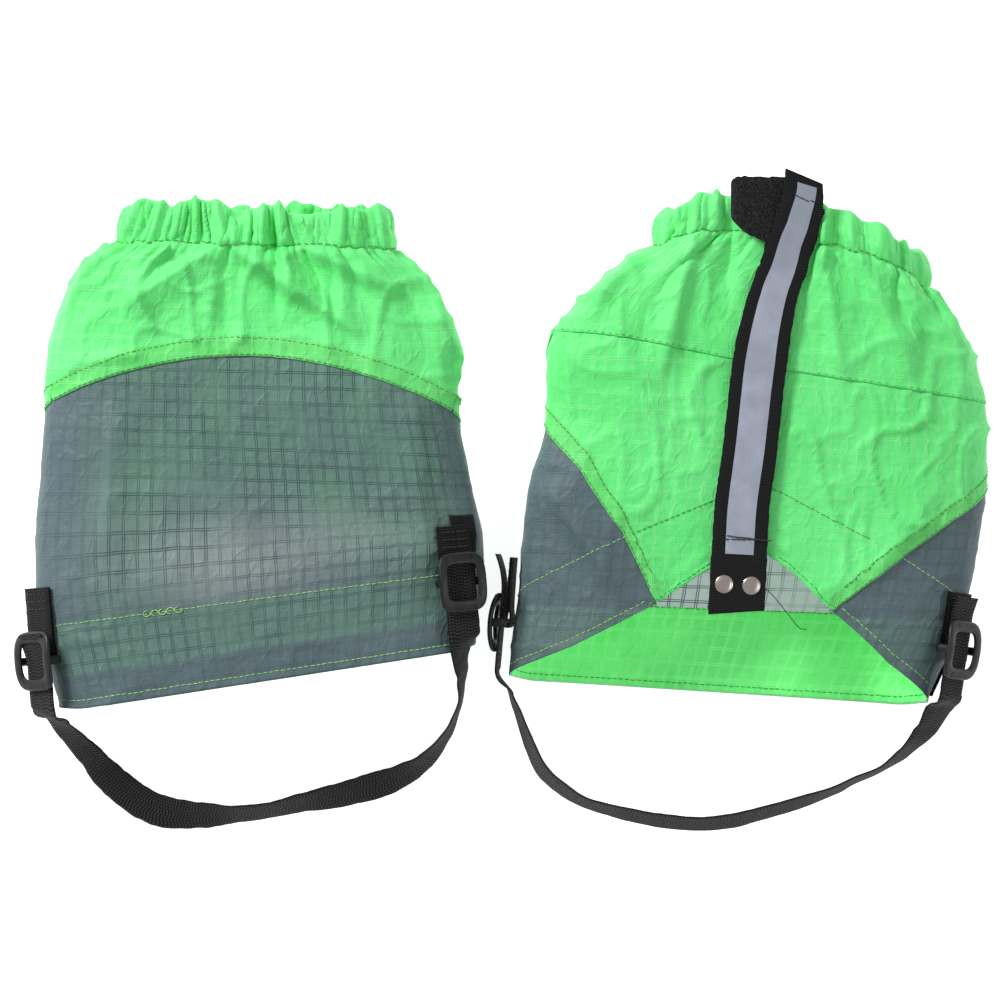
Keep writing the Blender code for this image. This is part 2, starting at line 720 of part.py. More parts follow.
def stirrup(gaiter):
    """The side webbings, and the strap that goes under the boot with its two buckles."""
    name = gaiter.name
    sides = ("left", "right")
    frames = []
    tops = []
    for leg, side in zip(gaiter.legs, (-1, 1)):
        lean = radians(leg["lean"])
        outward = Vector((side * cos(lean) * -gaiter.down.y, side * cos(lean) * gaiter.down.x, sin(lean)))
        upward = -gaiter.down
        across = upward.cross(outward)
        frame = Matrix((across, upward, outward)).transposed().to_4x4()
        frame.translation = Vector((gaiter.x + leg["x"], gaiter.y + leg["y"], leg["z"]))
        frames.append(frame)
        tops.append(frame @ Vector((0.0, leg["reach"], -BAR_DEPTH)))
    swing = pivot(f"{name}_stirrup_hinge", (tops[0] + tops[1]) / 2)
    for frame, leg, side in zip(frames, gaiter.legs, sides):
        buckle(f"{name}_slider_buckle_{side}", frame, swing)
        anchor(f"{name}_anchor_loop_{side}", frame, leg["reach"], swing)
        half = leg["webbing_half"]
        ends = (fixed(leg["webbing"] - half), fixed(leg["webbing"] + half))
        low, high = fixed(0.012), fixed(leg["webbing_top"])
        start = CLOTH + SIDE_GAP
        panel(f"side_webbing_{side}", gaiter, ends, low, high, 6, start, start + LOOP_THICK, WEBBING)
    points, tangents, normals = strap_path(gaiter)
    points, faces = ribbon(points, tangents, normals, STRAP_WIDTH, STRAP_THICK)
    node(f"{name}_instep_strap", points, faces, WEBBING, swing)
    return tops


LEFT_LEGS = (
    {
        "x": -0.1124, "y": 0.0071, "z": 0.0302, "lean": 30, "tail": 0.032, "straight": 0.0222,
        "reach": 0.034, "webbing": 0.53, "webbing_half": 0.036, "webbing_top": 0.2,
    },
    {
        "x": 0.0945, "y": 0.0439, "z": 0.0462, "lean": 68, "tail": 0.026, "straight": 0.0222,
        "reach": 0.0265, "webbing": 1.43, "webbing_half": 0.036, "webbing_top": 0.36,
    },
)
RIGHT_LEGS = (
    {
        "x": -0.1029, "y": 0.0312, "z": 0.0215, "lean": 6, "tail": 0.032, "straight": 0.0222,
        "reach": 0.031, "webbing": 1.5, "webbing_half": 0.036, "webbing_top": 0.3,
    },
    {
        "x": 0.1205, "y": 0.0203, "z": 0.0300, "lean": 45, "tail": 0.025, "straight": 0.0222,
        "reach": 0.0265, "webbing": 0.50, "webbing_half": 0.036, "webbing_top": 0.18,
    },
)
CAP_TOP = FLAP_AT + FLAP_THICK + 0.0001 + RIVET_DOME + 0.0001

PAIR = (
    Gaiter("left", -0.1104, -0.0763, HALF_HEIGHT + CAP_TOP, -1, LEFT_STATIONS, LEFT_STRAP, LEFT_LEGS, 5.0),
    Gaiter("right", 0.1008, -0.0829, HALF_HEIGHT + CLOTH, 1, RIGHT_STATIONS, RIGHT_STRAP, RIGHT_LEGS, -5.0),
)

for gaiter in PAIR:
    shell(gaiter)
    closure(gaiter)
    stirrup(gaiter)
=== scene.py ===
"""The looks of a pair of short hiking gaiters that lie flat.

The left one lies face down and the right one face up. Everything is in metres, in the frame of
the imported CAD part. A place on a gaiter is told by two numbers: up, 0 at the hem and 1 at the top
of the cuff, and around, 0 at the front, 0.5 at one side, 1 at the back and 1.5 at the other side.
The cloth is one wrinkled surface per gaiter, and every panel, seam and stitch is laid on it.
"""

from math import cos, pi, radians, sin

import bmesh
import bpy
import numpy as np
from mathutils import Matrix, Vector


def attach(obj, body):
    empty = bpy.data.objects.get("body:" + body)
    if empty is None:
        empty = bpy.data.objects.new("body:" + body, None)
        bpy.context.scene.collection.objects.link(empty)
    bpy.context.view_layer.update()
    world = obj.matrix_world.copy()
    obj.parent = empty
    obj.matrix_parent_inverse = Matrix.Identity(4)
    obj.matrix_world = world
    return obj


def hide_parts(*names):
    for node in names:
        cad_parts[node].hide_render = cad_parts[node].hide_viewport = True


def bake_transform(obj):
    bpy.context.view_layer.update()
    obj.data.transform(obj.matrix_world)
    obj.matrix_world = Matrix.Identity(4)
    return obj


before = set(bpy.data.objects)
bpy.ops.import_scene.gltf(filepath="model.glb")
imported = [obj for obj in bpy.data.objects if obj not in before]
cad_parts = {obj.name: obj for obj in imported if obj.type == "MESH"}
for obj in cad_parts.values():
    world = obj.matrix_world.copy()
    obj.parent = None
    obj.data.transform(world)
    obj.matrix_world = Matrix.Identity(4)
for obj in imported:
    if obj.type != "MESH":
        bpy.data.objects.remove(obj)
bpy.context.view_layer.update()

# The tube of cloth: half its height as it lies, the form of its section, its length and half its girth.
HALF_HEIGHT = 0.020
SECTION_POWER = 0.77
FLAT_SHARE = 1.15
LENGTH = 0.220
HALF_GIRTH = 0.215
CLOTH = 0.0006
MM_UP = 0.001 / LENGTH
MM_AROUND = 0.001 / HALF_GIRTH
# Heights on the gaiter, from 0 to 1: foot of the cuff, top of the hem facing, seam of the yoke,
# and the width of the doubled edge where green is sewn over grey.
CUFF_START = 0.912
FACING_UP = 0.165
YOKE_SEAM = 0.68
BAND = 0.0092 / LENGTH
# The front flap and its tapes, with the flap's height above the cloth and that of the rivet caps.
FLAP_AT = 0.0035
FLAP_THICK = 0.0012
CAP_TOP = 0.0063
TAPE_WIDTH = 0.020
TAB_LENGTH = 0.026
TAB_WIDTH = 0.0262
# Rows of points along the flap and along the tab.
FLAP_ROWS = 300
TAB_ROWS = 44
RIVET_PITCH = 0.0127
RIVET_RADIUS = 0.0044
RIVET_DROP = 0.0131
# Instep strap, the loops that hold its buckles, and the buckles.
STRAP_WIDTH = 0.016
STRAP_THICK = 0.0013
LOOP_THICK = 0.0010
BAR_RADIUS = 0.0009
BAR_DEPTH = 0.0031
GAP = 0.0003
BUCKLE_HALF_WIDTH = 0.0104
BUCKLE_HALF_LENGTH = 0.0137
WINDOW_HALF_WIDTH = 0.0085
WINDOW_HALF_LENGTH = 0.0098
BUCKLE_ARCH = 0.0022
# Grid of doubled threads in the cloth: pitch each way, half the gap in a pair, thread width.
GRID_ACROSS = 0.0061
GRID_UP = 0.0073
GRID_GAP = 0.00048
GRID_THREAD = 0.00034

# Rows across each gaiter: height, middle x and y from its own place, half width, tilt in degrees.
LEFT_STATIONS = (
    (0.0, 0.0, 0.0, 0.0975, 8.7),
    (0.215, -0.0033, 0.0472, 0.1045, 6.6),
    (0.405, -0.0049, 0.0892, 0.1008, -1.4),
    (0.6, -0.0073, 0.1317, 0.0951, -1.4),
    (0.74, -0.0069, 0.1623, 0.0933, -1.4),
    (0.86, -0.0066, 0.1893, 0.0802, -1.7),
    (0.912, -0.0054, 0.2006, 0.0659, -1.2),
    (1.0, -0.0042, 0.22, 0.0624, -0.9),
)
RIGHT_STATIONS = (
    (0.0, 0.0, 0.0, 0.0975, -3.7),
    (0.19, 0.0118, 0.0415, 0.1045, -2.0),
    (0.405, 0.0181, 0.0887, 0.1065, -2.0),
    (0.556, 0.0236, 0.1218, 0.1031, -3.0),
    (0.728, 0.0221, 0.1595, 0.0994, -4.0),
    (0.83, 0.0248, 0.182, 0.0847, -4.0),
    (0.9, 0.0342, 0.1975, 0.0664, -9.2),
    (1.0, 0.0342, 0.219, 0.0597, -8.7),
)


def hermite(table, at):
    """Smooth curve through rows that start with their place, for an array of places."""
    table = np.array(table)
    places = table[:, 0]
    slopes = np.empty_like(table)
    slopes[1:-1] = (table[2:] - table[:-2]) / (places[2:] - places[:-2])[:, None]
    slopes[0] = (table[1] - table[0]) / (places[1] - places[0])
    slopes[-1] = (table[-1] - table[-2]) / (places[-1] - places[-2])
    at = np.clip(at, places[0], places[-1])
    low = np.clip(np.searchsorted(places, at, side="right") - 1, 0, len(places) - 2)
    span = places[low + 1] - places[low]
    t = ((at - places[low]) / span)[..., None]
    span = span[..., None]
    value = (2 * t**3 - 3 * t**2 + 1) * table[low] + (3 * t**2 - 2 * t**3) * table[low + 1]
    value += ((t**3 - 2 * t**2 + t) * slopes[low] + (t**3 - t**2) * slopes[low + 1]) * span
    return value[..., 1:]


def section(half_width, turn):
    """Place across and height of the flattened tube for angles round it."""
    across = half_width * np.sign(np.sin(turn)) * np.abs(np.sin(turn)) ** SECTION_POWER
    depth = np.minimum(1.0, FLAT_SHARE * np.abs(np.cos(turn)) ** SECTION_POWER)
    return across, HALF_HEIGHT * np.sign(np.cos(turn)) * depth


QUARTER_TURNS = np.linspace(0, pi / 2, 401)
_across, _depth = section(0.1, QUARTER_TURNS)
_lengths = np.concatenate([[0], np.cumsum(np.hypot(np.diff(_across), np.diff(_depth)))])
QUARTER_PLACES = 0.5 * _lengths / _lengths[-1]


def turn_of(around):
    """Angle round the section for an array of around values."""
    around = np.mod(around, 2.0)
    flip = around > 1.0
    half = np.where(flip, 2.0 - around, around)
    back = half > 0.5
    quarter = np.where(back, 1.0 - half, half)
    turn = np.interp(quarter, QUARTER_PLACES, QUARTER_TURNS)
    turn = np.where(back, pi - turn, turn)
    return np.where(flip, -turn, turn)


def unit(vectors):
    """The same directions with length 1."""
    return vectors / (np.linalg.norm(vectors, axis=-1, keepdims=True) + 1e-12)


def lengths_along(path):
    """Length of a path from its first point to each of its points."""
    return np.concatenate([[0], np.cumsum(np.linalg.norm(np.diff(path, axis=0), axis=1))])


def look_up(at, places, table):
    """Rows of a table at new places between its own."""
    return np.stack([np.interp(at, places, table[:, k]) for k in range(table.shape[1])], 1)


def smoothstep(low, high, value):
    """0 below low, 1 above high and a smooth rise between them."""
    t = np.clip((value - low) / (high - low), 0.0, 1.0)
    return t * t * (3 - 2 * t)


def lumps(x, y, seed):
    """Smooth noise from -1 to 1 over arrays of places, one lump per unit."""
    size = 64
    values = np.random.RandomState(seed).uniform(-1, 1, (size, size))
    x0, y0 = np.floor(x).astype(int), np.floor(y).astype(int)
    u, v = x - x0, y - y0
    u, v = u * u * (3 - 2 * u), v * v * (3 - 2 * v)
    a = values[x0 % size, y0 % size] * (1 - u) + values[(x0 + 1) % size, y0 % size] * u
    b = values[x0 % size, (y0 + 1) % size] * (1 - u) + values[(x0 + 1) % size, (y0 + 1) % size] * u
    return a * (1 - v) + b * v


def gathers(around, seed, count, width, spread):
    """A row of uneven little ridges round the tube, each from 0 to 1 high."""
    random = np.random.RandomState(seed)
    places = (np.arange(count) + random.uniform(-0.35, 0.35, count)) * 2.0 / count
    widths = width * random.uniform(1 - spread, 1 + spread, count)
    heights = random.uniform(0.45, 1.0, count)
    total = np.zeros_like(around)
    for place, wide, high in zip(places, widths, heights):
        away = np.mod(around - place + 1.0, 2.0) - 1.0
        total = np.maximum(total, high * np.exp(-((away / wide) ** 2)))
    return total


class Gaiter:
    """The wrinkled cloth surface of one gaiter, as a fine grid of points and normals."""

    def __init__(self, name, x, y, height, facing, stations, heading, creases, seed):
        self.name = name
        self.x, self.y, self.height, self.facing = x, y, height, facing
        self.stations = stations
        self.heading = heading
        self.ups = np.linspace(-0.03, 1.12, 380)
        self.rounds = np.linspace(0.0, 2.0, 720, endpoint=False)
        up, around = np.meshgrid(self.ups, self.rounds, indexing="ij")
        base = self.base(up, around)
        normal = self.normals(base)
        rise, slide = self.wrinkles(up, around, base, creases, seed)
        points = base + normal * rise[..., None]
        points[..., 1] += slide
        points[..., 2] = np.maximum(points[..., 2], 0.0004)
        self.points = points
        self.out = self.normals(points)

    def rows(self, up):
        """Middle, direction to the wearer's side and half width of the rows at some heights."""
        values = hermite(self.stations, up)
        x, y, half = values[..., 0], values[..., 1], values[..., 2]
        tilt = np.radians(values[..., 3])
        y = y + (np.maximum(up - 1.0, 0.0) + np.minimum(up, 0.0)) * LENGTH
        middle = np.stack([self.x + x, self.y + y, np.full_like(x, self.height)], -1)
        right = np.stack([np.cos(tilt), np.sin(tilt), np.zeros_like(tilt)], -1) * self.facing
        return middle, right, half

    def base(self, up, around):
        """Points of the smooth tube before it is wrinkled."""
        middle, right, half = self.rows(up)
        across, depth = section(half, turn_of(around))
        points = middle + across[..., None] * right
        points[..., 2] += depth * self.facing
        return points

    def normals(self, points):
        """Outward directions of a grid of points."""
        along = np.gradient(points, axis=0)
        across = np.roll(points, -1, axis=1) - np.roll(points, 1, axis=1)
        normal = np.cross(along, across)
        normal /= np.linalg.norm(normal, axis=-1, keepdims=True) + 1e-12
        outside = points - self.rows(np.repeat(self.ups[:, None], len(self.rounds), 1))[0]
        flip = np.sign(np.sum(normal * outside, -1))
        # One side of the surface faces out everywhere, so the commonest sign holds for all.
        return normal * (1.0 if flip.mean() > 0 else -1.0)

    def wrinkles(self, up, around, base, creases, seed):
        """How far the cloth stands off its smooth form, and how far each place slides along y."""
        below = np.maximum(CUFF_START - up, 0.0)
        in_cuff = smoothstep(CUFF_START, CUFF_START + 0.006, up)
        cuff_share = np.clip((up - CUFF_START) / (1.0 - CUFF_START), 0.0, 1.3)
        slant = 0.055 * cuff_share * lumps(around * 7, around * 0, seed + 41)
        fine = gathers(around + slant, seed + 1, 64, 0.009, 0.5)
        broad = gathers(around + 0.8 * slant, seed + 2, 22, 0.026, 0.6)
        rise = self.cuff_pleats(around, cuff_share, fine, broad, slant, seed) * in_cuff
        rise += self.fan_folds(around, below, seed)
        # The casing's stitching pinches the cloth, and its gathers fade out below.
        rise += -0.0012 * np.exp(-((below / 0.012) ** 2)) * (1 - in_cuff)
        rise += 0.0022 * fine * np.exp(-below / 0.026) * smoothstep(0.0, 0.004, below)
        x = base[..., 0] - self.x
        y = base[..., 1] - self.y
        rise += self.crumples(up, around, x / 0.001, y / 0.001, seed) * (1 - in_cuff)
        rise += self.pressed(around, x, y, creases)
        rise = self.kept_quiet(up, around, rise)
        scallop = 0.6 * broad + 0.4 * lumps(around * 14, around * 0, seed + 12)
        swell = lumps(around * 5, around * 0, seed + 14)
        slide = smoothstep(0.3, 1.0, cuff_share) * (0.0060 * scallop + 0.0032 * swell - 0.0020)
        if self.facing > 0:
            bow = np.interp(from_front(around), *zip(*CUFF_BOW))
            slide = slide + LENGTH * bow * smoothstep(0.6, 0.9, up)
        # Rows of stitching draw the cloth in and pucker it.
        rows = ((self.seam(around) + 0.021, 0.021), (FACING_UP, 0.008), (hem(around) + 0.018, 0.010))
        for line, wide in rows:
            close = np.exp(-(((up - line) / wide) ** 2))
            rise += close * (0.00042 * lumps(around * 62, up * 6, seed + 30) - 0.00022)
        return rise, slide

    def cuff_pleats(self, around, cuff_share, fine, broad, slant, seed):
        """The elastic casing: a roll with fine and broad pleats, bunched here and there."""
        bunch = smoothstep(-0.3, 0.4, lumps(around * 4.5, around * 0, seed + 40))
        hump = np.sin(pi * np.clip(cuff_share, 0, 1)) ** 0.6
        uneven = 0.55 + 0.75 * np.abs(lumps(around * 6, around * 0, seed + 33))
        pleats = uneven * (0.0032 * fine * (0.25 + 0.75 * bunch) + 0.0052 * broad) - 0.0034
        nips = (1 - np.abs(lumps(around * 26 + 9 * slant, 1.6 * cuff_share, seed + 42))) ** 9
        pleats -= 0.0020 * nips * (0.4 + 0.6 * bunch)
        return -0.0014 + 0.0032 * hump + (0.35 + 0.65 * hump) * pleats

    def fan_folds(self, around, below, seed):
        """Below the cuff's stitching the gathered cloth fans out into longer, broader folds."""
        random = np.random.RandomState(seed)
        folds = np.zeros_like(around)
        for _ in range(34):
            place = random.uniform(0, 2)
            lean = random.uniform(-0.35, 0.35)
            reach = random.uniform(0.05, 0.26)
            high = random.uniform(-0.0034, 0.0042)
            narrow = random.uniform(0.008, 0.018)
            away = np.mod(around - place - lean * below + 1.0, 2.0) - 1.0
            wide = narrow + 0.10 * below
            steep = np.where(away * np.sign(lean) > 0, 0.45, 1.0)
            fade = np.exp(-((below / reach) ** 2)) * smoothstep(0.0, 0.012, below)
            folds += high * np.exp(-((away / (wide * steep)) ** 2)) * fade
        return folds

    def crumples(self, up, around, x, y, seed):
        """Soft lumps, and the sharp little ridges of thin cloth; x and y in millimetres."""
        # The back takes its lumps from another part of the noise than the front.
        side = np.where(np.abs(np.mod(around, 2.0) - 1.0) < 0.5, 31.0, 0.0)
        rise = 0.0011 * lumps(x / 46 + side, y / 52, seed + 7)
        rise += 0.0005 * lumps(x / 19 + side, y / 25, seed + 8)
        rise += 0.00022 * lumps(x / 7 + side, y / 9, seed + 9)
        bend = 5 * lumps(x / 30 + side, y / 30, seed + 20)
        ridge = 1 - np.abs(lumps((x + bend) / 21 + side, (y - bend) / 34, seed + 21))
        crisp = 1 - np.abs(lumps((x - bend) / 13 + side, (y + bend) / 19, seed + 22))
        tiny = 1 - np.abs(lumps((x + 2 * bend) / 6 + side, (y - bend) / 9, seed + 23))
        # The green cloth creases more than the grey.
        green = smoothstep(0.0, 0.05, up - self.seam(around))
        rise += (0.0007 + 0.0013 * green) * (ridge**8 - 0.2)
        rise += (0.0003 + 0.0009 * green) * (crisp**8 - 0.2)
        rise += (0.0001 + 0.0003 * green) * (tiny**6 - 0.2)
        return rise

    def pressed(self, around, x, y, creases):
        """The long folds of the crease tables."""
        rise = np.zeros_like(x)
        back = np.abs(np.mod(around, 2.0) - 1.0) < 0.5
        for on_back, x0, y0, x1, y1, wide_left, wide_right, high in creases:
            dx, dy = x1 - x0, y1 - y0
            length = np.hypot(dx, dy)
            along = ((x - x0) * dx + (y - y0) * dy) / length
            away = ((x - x0) * dy - (y - y0) * dx) / length
            wide = np.where(away < 0, wide_left, wide_right)
            ends = smoothstep(-0.012, 0.006, along)
            ends = ends * (1 - smoothstep(length - 0.010, length + 0.012, along))
            sharp = 0.65 * np.exp(-((away / wide) ** 2)) + 0.5 * np.exp(-np.abs(away / (0.6 * wide)))
            rise += np.where(back == on_back, 1.6 * high * sharp * ends, 0.0)
        return rise

    def kept_quiet(self, up, around, rise):
        """The cloth lies flatter under the front flap and where it rests on the table."""
        near = from_front(around)
        aside = np.mod(around, 2.0) - self.flap_offset(up) / HALF_GIRTH
        aside = np.minimum(np.abs(aside), np.abs(aside - 2.0))
        quiet = (1 - smoothstep(0.06, 0.12, aside)) * smoothstep(0.2, 0.3, up)
        rise = rise * (1 - 0.8 * quiet) - 0.0005 * quiet
        if self.facing > 0:
            return np.where(near > 0.68, np.minimum(rise, 0.0) * 0.7, rise)
        return np.where(near < 0.4, np.clip(rise, -0.003, 0.003), rise)

    def seam(self, around):
        """Height of the seam between grey and green."""
        near = from_front(around)
        back = 0.545 + 0.135 * np.sin(pi / 2 * np.clip((near - 0.5) / 0.5, 0, 1)) ** 0.8
        if self.facing < 0:
            front = 0.18 + 0.365 * np.clip((near - 0.19) / 0.31, 0, 1) ** 0.8
            return np.where(near < 0.5, front, back)
        first = np.interp(near, *zip(*SEAM_NEAR))
        second = np.interp(near, *zip(*SEAM_FAR))
        share = smoothstep(0.50, 0.60, near)
        return np.where(np.mod(around, 2.0) < 1.0, first, second) * (1 - share) + back * share

    def yoke_line(self, around):
        """Height of the seam between the front and the yoke, then the lower edge of the yoke."""
        near = from_front(around)
        tilt = np.where(np.mod(around, 2.0) < 1.0, -0.08, 0.13) * (1 if self.facing > 0 else 0)
        share = np.clip((near - 0.5) / 0.045, 0, 1)
        front = YOKE_SEAM + tilt * np.minimum(near, 0.5)
        return front * (1 - share) + self.seam(around) * share

    def at(self, up, around, out=0.0):
        """Points of the cloth for arrays of places, moved out along its normals."""
        up, around = np.broadcast_arrays(np.asarray(up, float), np.asarray(around, float))
        row = np.clip((up - self.ups[0]) / (self.ups[1] - self.ups[0]), 0, len(self.ups) - 1.001)
        column = np.mod(around, 2.0) / (self.rounds[1] - self.rounds[0])
        r, c = row.astype(int), column.astype(int)
        u, v = (row - r)[..., None], (column - c)[..., None]
        count = len(self.rounds)
        found = []
        for grid in (self.points, self.out):
            low = grid[r, c % count] * (1 - v) + grid[r, (c + 1) % count] * v
            high = grid[r + 1, c % count] * (1 - v) + grid[r + 1, (c + 1) % count] * v
            found.append(low * (1 - u) + high * u)
        normal = found[1] / np.linalg.norm(found[1], axis=-1, keepdims=True)
        out = np.broadcast_to(np.asarray(out, float), up.shape)
        return found[0] + normal * out[..., None]

    def flap_line(self):
        """Middle of the flap from its foot to its top, as x and y."""
        if self.facing > 0:
            return smooth_line(FLAP_PATH, 240) + [self.x, self.y]
        up = np.linspace(0.0, 1.2, 1300)
        middle, right, _ = self.rows(up)
        heights = np.linspace(0.285, 0.950, 240)
        offset = np.interp(heights, [0.25, 0.62, 0.77, 1.0], [-0.0038, -0.001, 0.003, 0.0022])
        return look_up(heights, up, middle[:, :2]) + look_up(heights, up, right[:, :2]) * offset[:, None]

    def flap_offset(self, up):
        """How far the middle of the flap is from the front line, for heights."""
        if not hasattr(self, "_offsets"):
            points = self.flap_line()
            rows = np.linspace(0.0, 1.2, 1300)
            middle, right, _ = self.rows(rows)
            found = []
            for x, y in points:
                dx, dy = x - middle[:, 0], y - middle[:, 1]
                row = int(np.argmin(np.abs(-dx * right[:, 1] + dy * right[:, 0])))
                found.append((rows[row], dx[row] * right[row, 0] + dy[row] * right[row, 1]))
            self._offsets = np.array(found)
        return np.interp(up, self._offsets[:, 0], self._offsets[:, 1])

    def normal_at(self, up, around):
        """Outward directions of the cloth at places."""
        return (self.at(up, around, 0.001) - self.at(up, around, 0.0)) * 1000


# Seams of the gaiter that lies face up, as distance from the front and height.
SEAM_NEAR = ((0.0, 0.10), (0.169, 0.161), (0.308, 0.298), (0.4, 0.375), (0.5, 0.455), (0.6, 0.50))
SEAM_FAR = ((0.0, 0.10), (0.186, 0.188), (0.267, 0.331), (0.369, 0.455), (0.478, 0.534), (0.6, 0.56))
# How far the rows near its cuff bow up, in the same way.
CUFF_BOW = ((0.0, 0.046), (0.18, 0.044), (0.3, 0.033), (0.39, 0.010), (0.45, -0.012), (0.52, -0.016))
# Middle of the flap from its foot to its top, from the gaiter's own place: the one that lies
# face up has been pulled over to its right.
FLAP_PATH = (
    (0.0092, 0.0623), (0.0106, 0.0854), (0.0142, 0.1123), (0.0172, 0.1392), (0.0192, 0.1548),
    (0.0219, 0.1704), (0.0259, 0.1864), (0.0300, 0.1973), (0.0331, 0.2083), (0.0366, 0.2177),
    (0.0390, 0.2303), (0.0394, 0.2395),
)
ARCH = ((0.0, 0.31), (0.08, 0.26), (0.18, 0.178), (0.34, 0.075), (0.47, 0.012), (0.5, 0.0))


def from_front(around):
    """Distance from the front line, 0 to 1 at the back."""
    around = np.mod(around, 2.0)
    return np.minimum(around, 2.0 - around)


def hem(around):
    """Height of the hem: the arch at the front, and nearly level round the back."""
    near = from_front(around)
    return np.interp(near, *zip(*ARCH)) - 0.010 * smoothstep(0.5, 0.6, near)


def opening(gaiter, side):
    """Edge of the front opening on one side, as around for heights; it stays under the flap."""

    def edge(up):
        middle = gaiter.flap_offset(up) / HALF_GIRTH
        return middle + 0.022 if side > 0 else 2.0 + middle - 0.022

    return edge


def mesh_object(name, points, faces, places=None):
    """A mesh from arrays. places are cloth coordinates in metres, one pair per point."""
    mesh = bpy.data.meshes.new(name)
    points = np.asarray(points, float).reshape(-1, 3)
    mesh.from_pydata(points.tolist(), [], [tuple(face) for face in faces])
    mesh.update()
    if places is not None:
        layer = mesh.uv_layers.new(name="cloth")
        corners = np.empty(len(mesh.loops), np.int32)
        mesh.loops.foreach_get("vertex_index", corners)
        layer.data.foreach_set("uv", np.asarray(places, np.float32).reshape(-1, 2)[corners].ravel())
    mesh.polygons.foreach_set("use_smooth", [True] * len(mesh.polygons))
    made = bpy.data.objects.new(name, mesh)
    bpy.context.scene.collection.objects.link(made)
    return made


def sheet_faces(rows, columns):
    """Faces of a thin closed body made of two grids, one after the other."""
    r, c = np.meshgrid(np.arange(rows - 1), np.arange(columns - 1), indexing="ij")
    a = (r * columns + c).ravel()
    quads = np.stack([a, a + 1, a + columns + 1, a + columns], 1)
    other = rows * columns
    first = np.arange(columns)
    last = (rows - 1) * columns + np.arange(columns - 2, -1, -1)
    near, far = np.arange(rows - 2, 0, -1) * columns, np.arange(1, rows) * columns + columns - 1
    edge = np.concatenate([first, far, last, near])
    after = np.roll(edge, -1)
    rim = np.stack([edge, other + edge, other + after, after], 1)
    return np.concatenate([quads, quads[:, ::-1] + other, rim])


def face_out(made):
    """Turns every face of a closed mesh outwards."""
    shape = bmesh.new()
    shape.from_mesh(made.data)
    bmesh.ops.recalc_face_normals(shape, faces=shape.faces)
    shape.to_mesh(made.data)
    shape.free()
    return made


def cloth_piece(name, gaiter, up, around, outer, inner):
    """A piece of cloth over grids of places, between two offsets."""
    points = np.concatenate([gaiter.at(up, around, offset).reshape(-1, 3) for offset in (outer, inner)])
    places = np.stack([around * HALF_GIRTH, up * LENGTH], -1).reshape(-1, 2)
    return face_out(mesh_object(name, points, sheet_faces(*up.shape), np.concatenate([places, places])))


def patch(start, end, low, high, step=0.0014):
    """Grids of up and around for a piece with four edge functions."""
    middle_start = float(start(0.5)) if callable(start) else start
    middle_end = float(end(0.5)) if callable(end) else end
    columns = max(int((middle_end - middle_start) * 0.218 / step), 4)
    share = np.linspace(0, 1, columns + 1)
    around = middle_start + (middle_end - middle_start) * share
    tall = float(np.max(high(around) - low(around)) * LENGTH)
    rows = max(int(tall / step), 3)
    t = np.linspace(0, 1, rows + 1)[:, None]
    up = low(around)[None, :] * (1 - t) + high(around)[None, :] * t
    grid = np.repeat(around[None, :], rows + 1, 0)
    if callable(start):
        pull = (1 - smoothstep(0.0, 0.05, grid - middle_start))
        grid = grid + (start(up) - middle_start) * pull
    if callable(end):
        pull = (1 - smoothstep(0.0, 0.05, middle_end - grid))
        grid = grid + (end(up) - middle_end) * pull
    return up, grid


def paint(red, green, blue):
    """A linear colour from display values that run to 255."""
    values = [value / 255 for value in (red, green, blue)]
    return tuple(v / 12.92 if v < 0.04045 else ((v + 0.055) / 1.055) ** 2.4 for v in values) + (1.0,)


